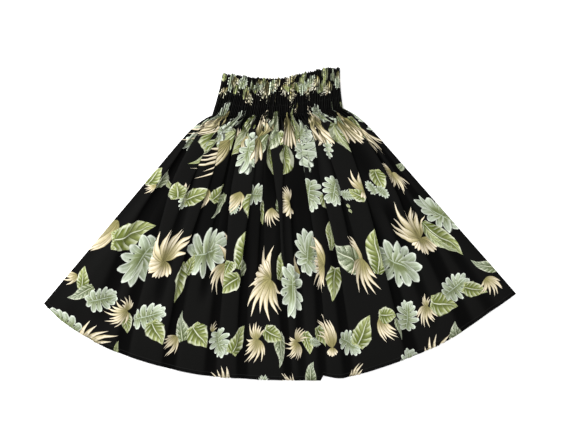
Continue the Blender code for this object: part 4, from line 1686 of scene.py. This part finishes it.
@dataclass(frozen=True)
class PrintedCotton:
    """Black poplin with a printed leaf pattern: plain weave, soft sheen, veined and shaded leaves."""

    name: str
    cloth: float = 1.37
    ground: Paint = (0.0042, 0.0042, 0.0039, 1.0)
    pale: Paint = (0.660, 0.680, 0.530, 1.0)
    outline: Paint = (0.012, 0.015, 0.007, 1.0)
    hollow: Paint = (0.032, 0.042, 0.010, 1.0)
    speck: Paint = (0.014, 0.020, 0.012, 1.0)
    finger_edge: Paint = (0.100, 0.086, 0.034, 1.0)
    finger_light: Paint = (0.780, 0.715, 0.590, 1.0)
    lobe_shade: Paint = (0.070, 0.090, 0.038, 1.0)
    lobe_light: Paint = (0.740, 0.780, 0.700, 1.0)
    fold_shade: Paint = (0.0, 0.0, 0.0, 1.0)
    sewing_thread: Paint = (0.016, 0.016, 0.015, 1.0)
    thread: float = 0.00055
    stitch_length: float = 0.0030
    stitch_half: tuple[float, float] = (0.0003, 0.0006)
    elastic_row: float = 0.0250
    elastic_shift: float = 0.0010
    hem_line: float = 0.6295
    hem_step: tuple[float, float] = (0.0022, 0.0012)
    band_foot: float = 0.002
    bump_depth: float = 0.00012

    def stitches(self, along: Value, level: Value, on_band: Value) -> Value:
        """Sewn rows: the elastic's on the band and one on the hem.

        Args:
            along: metres along the cloth.
            level: metres down the cloth.
            on_band: 1 on the waistband and 0 on the skirt.

        Returns:
            1 on a stitch, 0 beside it.
        """
        row = ((level + self.elastic_shift) / self.elastic_row).fraction()
        beside_band = (0.5 - abs(row - 0.5)) * self.elastic_row
        beside_hem = abs(level - self.hem_line)
        line = on_band * (1.0 - beside_band.between(*self.stitch_half))
        line = line.most(1.0 - beside_hem.between(*self.stitch_half))
        dash = (1.0 - abs((along / self.stitch_length).fraction() * 2.0 - 1.0)).between(0.15, 0.35)
        return line * dash

    def fingers(self, n: Nodes, leaf: Value, spot: LeafSpot) -> Value:
        """Shade a palm's fingers: dark along their edges and lit on one side of the fold.

        Args:
            n: the material's nodes.
            leaf: the leaf's colour so far.
            spot: the spot on the leaf.

        Returns:
            The shaded colour.
        """
        side = spot.side
        finger = spot.finger()
        leaf = n.blend(finger * side.between(0.62, 1.0) * 0.72, leaf, self.finger_edge)
        lit = finger * spot.across.between(-0.5, 0.2) * (1.0 - side.between(0.50, 0.80))
        return n.blend(lit * spot.along.between(0.25, 0.80) * 0.72, leaf, self.finger_light)

    def lobes(self, n: Nodes, leaf: Value, spot: LeafSpot) -> Value:
        """Shade smooth lobes: darker on one side and towards the stalk, pale at the rim, tip and rib.

        Args:
            n: the material's nodes.
            leaf: the leaf's colour so far.
            spot: the spot on the leaf.

        Returns:
            The shaded colour.
        """
        along, across, side = spot.along, spot.across, spot.side
        lobe = spot.lobe()
        outer = along.between(0.15, 0.60)
        shaded = (across.between(0.0, 0.8) * outer * 0.45).most((1.0 - along.between(0.0, 0.60)) * 0.45)
        leaf = n.blend(lobe * shaded, leaf, self.lobe_shade)
        rimmed = side.between(0.62, 0.85) * (outer * 0.60)
        lifted = (along.between(0.80, 1.0) * 0.75).most((-across).between(0.30, 1.0) * 0.45).most(rimmed)
        ribbed = (1.0 - side).between(0.90, 0.98) * 0.22
        return n.blend(lobe * lifted.most(ribbed), leaf, self.lobe_light)

    def veins(self, n: Nodes, leaf: Value, spot: LeafSpot) -> Value:
        """Shade a veined leaf: hollows between its veins, a pale broken rim, its rib and thin veins.

        Args:
            n: the material's nodes.
            leaf: the leaf's colour so far.
            spot: the spot on the leaf.

        Returns:
            The shaded colour.
        """
        across, side = spot.across, spot.side
        veined = spot.veined()
        wave = (spot.along * spot.veins - side * 1.35).fraction()
        hollow = (1.0 - wave.between(0.0, 0.70)) * 0.66
        near_rib = (1.0 - side).between(0.30, 0.95) * (0.40 + across.between(-0.2, 0.2) * 0.35)
        blotch = (spot.patches - 0.42).between(0.0, 0.30) * 0.45
        leaf = n.blend(veined * hollow.most(near_rib).most(blotch), leaf, self.hollow)
        crest = wave.between(0.50, 0.95) * side.between(0.20, 0.60) * 0.48
        leaf = n.blend(veined * crest, leaf, self.pale)
        rim = side.between(0.62, 0.92) * (0.80 - across.between(-0.3, 0.3) * 0.35)
        leaf = n.blend(veined * (rim * spot.patches.between(0.40, 0.58)), leaf, self.pale)
        rib = (1.0 - side).between(0.93, 0.985)
        thin = 1.0 - (1.0 - abs(wave - 0.5) * 2.0).between(0.0, 0.10)
        return n.blend(veined * rib.most(thin * 0.30) * 0.75, leaf, self.pale)

    def edges(self, n: Nodes, leaf: Value, spot: LeafSpot, on_band: Value) -> Value:
        """Draw a leaf's dark outline and the slits in its lobes.

        Args:
            n: the material's nodes.
            leaf: the leaf's colour so far.
            spot: the spot on the leaf.
            on_band: 1 on the waistband and 0 on the skirt.

        Returns:
            The colour with its outline.
        """
        side, lobe = spot.side, spot.lobe()
        slit = lobe * side.between(0.86, 0.98) * spot.along.between(0.34, 0.48) * 0.85
        edge = (side.between(0.92, 1.0) * (1.0 - lobe) * 0.50).most(slit)
        return n.blend(edge.most(on_band * side.between(0.80, 1.0) * 0.70), leaf, self.outline)

    def material(self) -> bpy.types.Material:
        """Build the material.

        Returns:
            The finished material.
        """
        n = Nodes(self.name)
        root, tip = n.attribute("leaf_root"), n.attribute("leaf_tip")
        along, across, veins = n.parts(n.attribute("leaf_place")["Vector"])
        metres, level, sunk = n.parts(n.attribute("cloth_place")["Vector"])
        printed = root["Alpha"].between(0.3, 0.7)
        on_band = 1.0 - level.between(-self.band_foot, self.band_foot)
        uv = n.node("ShaderNodeUVMap", {"uv_map": CLOTH_MAP}, {})["UV"]
        stretch = {0: uv, "Scale": self.cloth / MAP_SHARE}
        flat = n.node("ShaderNodeVectorMath", {"operation": "SCALE"}, stretch)["Vector"]
        fine = n.grain(flat, 260.0, 3.0, 0.6)
        spot = LeafSpot(along, across, abs(across), veins, n.grain(flat, 38.0, 2.0))
        grade = (along * 1.15 - 0.08 + (spot.patches - 0.5) * 0.7).between(0.0, 1.0)
        leaf = n.blend(grade, root["Color"], tip["Color"])
        leaf = self.veins(n, self.lobes(n, self.fingers(n, leaf, spot), spot), spot)
        specks = n.grain(flat, 420.0, 1.0).between(0.585, 0.625) * spot.side.between(0.05, 0.25)
        leaf = n.blend(tip["Alpha"] * specks * 0.85, leaf, self.speck)
        leaf = n.blend((fine - 0.5) * 0.50 + 0.10, leaf, self.hollow)
        colour = n.blend(printed, self.ground, self.edges(n, leaf, spot, on_band))
        x, y, _ = n.parts(flat)
        turns = 2.0 * math.pi / self.thread
        weave = (x * turns).sine() * (y * turns).sine()
        slub = n.grain(flat, 900.0, 2.0)
        # Painted shade: the colour darkens to black the further the cloth lies into its folds, most on the
        # plain ground and least on the skirt's leaves. The same blend also darkens the weave's threads and,
        # evenly, the whole colour.
        shade = (sunk - on_band * 0.35).between(0.05, 0.90) * (0.78 - printed * (0.46 - on_band * 0.14))
        colour = n.blend(shade.most((weave * 0.5 + 0.5) * 0.10 + 0.08), colour, self.fold_shade)
        stitch = self.stitches(metres, level, on_band)
        colour = n.blend(stitch * 0.8, colour, self.sewing_thread)
        hem = level.between(*(self.hem_line - step for step in self.hem_step))
        relief = weave * 0.5 + slub * 0.6 + stitch * 2.5 + hem * 3.0
        height = {"Strength": 0.25, "Distance": self.bump_depth, "Height": relief}
        surface = {
            "Base Color": colour,
            "Roughness": 0.74 + (slub - 0.5) * 0.16 - printed * 0.04,
            "Normal": n.node("ShaderNodeBump", {}, height)["Normal"],
            "Specular IOR Level": 0.02,
            "Sheen Weight": 0.004,
            "Sheen Roughness": 0.50,
        }
        return n.surface(n.node("ShaderNodeBsdfPrincipled", {}, surface)["BSDF"])


@dataclass(frozen=True)
class PalePaper:
    """Plain white studio floor with a faint tooth."""

    name: str = "white_studio_paper"
    darker: Paint = (0.93, 0.93, 0.93, 1.0)
    lighter: Paint = (0.95, 0.95, 0.95, 1.0)
    roughness: float = 0.9

    def material(self) -> bpy.types.Material:
        """Build the material.

        Returns:
            The finished material.
        """
        n = Nodes(self.name)
        tooth = n.grain(n.node("ShaderNodeTexCoord", {}, {})["Object"], 90.0, 2.0)
        surface = {"Base Color": n.blend(tooth, self.darker, self.lighter), "Roughness": self.roughness}
        return n.surface(n.node("ShaderNodeBsdfPrincipled", {}, surface)["BSDF"])


@dataclass(frozen=True)
class SoftLight:
    """A square soft light that looks at the skirt: its place, size in metres and watts."""

    name: str
    place: tuple[float, float, float]
    size: float
    watts: float

    def build(self) -> None:
        """Hang the light."""
        lamp = bpy.data.lights.new(self.name, "AREA")
        lamp.shape = "SQUARE"
        lamp.size = self.size
        lamp.energy = self.watts
        made = bpy.data.objects.new(self.name, lamp)
        made.location = self.place
        made.rotation_euler = (-Vector(self.place)).to_track_quat("-Z", "Y").to_euler()
        bpy.context.scene.collection.objects.link(made)


@dataclass
class Studio:
    """Floor, lights and the camera straight above the skirt."""

    centre: tuple[float, float] = (0.012, 0.024)
    shown_width: float = 1.368
    shown_height: float = 0.012
    lens: float = 85.0
    sensor: float = 36.0
    farthest: float = 20.0
    floor_size: float = 6.0
    floor_cells: int = 12
    floor_level: float = -0.0004
    room: Paint = (1.0, 1.0, 1.0, 1.0)
    room_strength: float = 1.28
    lights: tuple[SoftLight, ...] = (
        SoftLight("key_light", (-2.0, 1.3, 2.0), 1.4, 120.0),
        SoftLight("fill_light", (1.6, -1.2, 2.6), 2.2, 20.0),
    )

    def floor(self) -> None:
        """Lay the floor under the skirt."""
        mesh = bpy.data.meshes.new("studio_floor")
        cells = self.floor_cells
        line = np.linspace(-self.floor_size / 2.0, self.floor_size / 2.0, cells + 1)
        points = [(x, y, self.floor_level) for y in line for x in line]
        faces = []
        for row in range(cells):
            for column in range(cells):
                a = row * (cells + 1) + column
                faces.append((a, a + 1, a + cells + 2, a + cells + 1))
        mesh.from_pydata(points, [], faces)
        made = bpy.data.objects.new("studio_floor", mesh)
        bpy.context.scene.collection.objects.link(made)
        mesh.materials.append(PalePaper().material())

    def sky(self) -> None:
        """Light the room evenly."""
        world = bpy.data.worlds.new("pale_room")
        world.use_nodes = True
        background = world.node_tree.nodes["Background"]
        background.inputs["Color"].default_value = self.room
        background.inputs["Strength"].default_value = self.room_strength
        bpy.context.scene.world = world
        bpy.context.scene.view_settings.view_transform = "Standard"

    def camera(self) -> None:
        """Hang the camera so that the skirt fills the picture as it does in the photo."""
        camera = bpy.data.cameras.new("camera")
        camera.lens = self.lens
        camera.sensor_width = self.sensor
        camera.clip_end = self.farthest
        made = bpy.data.objects.new("camera", camera)
        made.location = (*self.centre, self.shown_width * self.lens / self.sensor + self.shown_height)
        made.rotation_euler = (0.0, 0.0, 0.0)
        bpy.context.scene.collection.objects.link(made)
        bpy.context.scene.camera = made

    def build(self) -> None:
        """Set up the whole studio."""
        self.floor()
        for light in self.lights:
            light.build()
        self.sky()
        self.camera()


@dataclass
class HulaSkirt:
    """The whole skirt: two halves, each a shirred waistband and a gathered skirt of one cloth."""

    plan: SkirtPlan = field(default_factory=SkirtPlan)
    gathers: Gathers = field(default_factory=Gathers)

    def build(self) -> None:
        """Build both halves, attach their pieces to the root body and hide the solids they stand in for."""
        cotton = PrintedCotton("printed_black_poplin").material()
        for half, valleys, faces_up in (("front", FRONT_VALLEYS, True), ("back", BACK_VALLEYS, False)):
            cloth = FoldedHalf(self.plan, self.gathers, valleys, faces_up)
            design = LeafPrint(cloth, mirrored=not faces_up)
            on_band = design.band_blades()
            blades = design.skirt_blades() + on_band
            pieces = (
                ("waistband", -cloth.band_height - cloth.head_turn, 0.0),
                ("skirt", 0.0, cloth.length + cloth.hem_turn),
            )
            for part, first, last in pieces:
                node = f"{part}_{half}"
                piece = ClothPiece(f"{node}_printed", node, f"{node}_cloth", cloth, blades, first, last)
                made = piece.build()
                made.data.materials.append(cotton)
                piece.declare(made)
                LOG.info("%s: %d triangles before its thickness", made.name, len(made.data.polygons))


def main() -> None:
    """Build the skirt and its studio."""
    logging.basicConfig(level=logging.INFO, format="%(name)s %(message)s")
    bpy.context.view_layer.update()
    Studio().build()
    LOG.info("studio built")
    HulaSkirt().build()


if __name__ == "__main__":
    main()
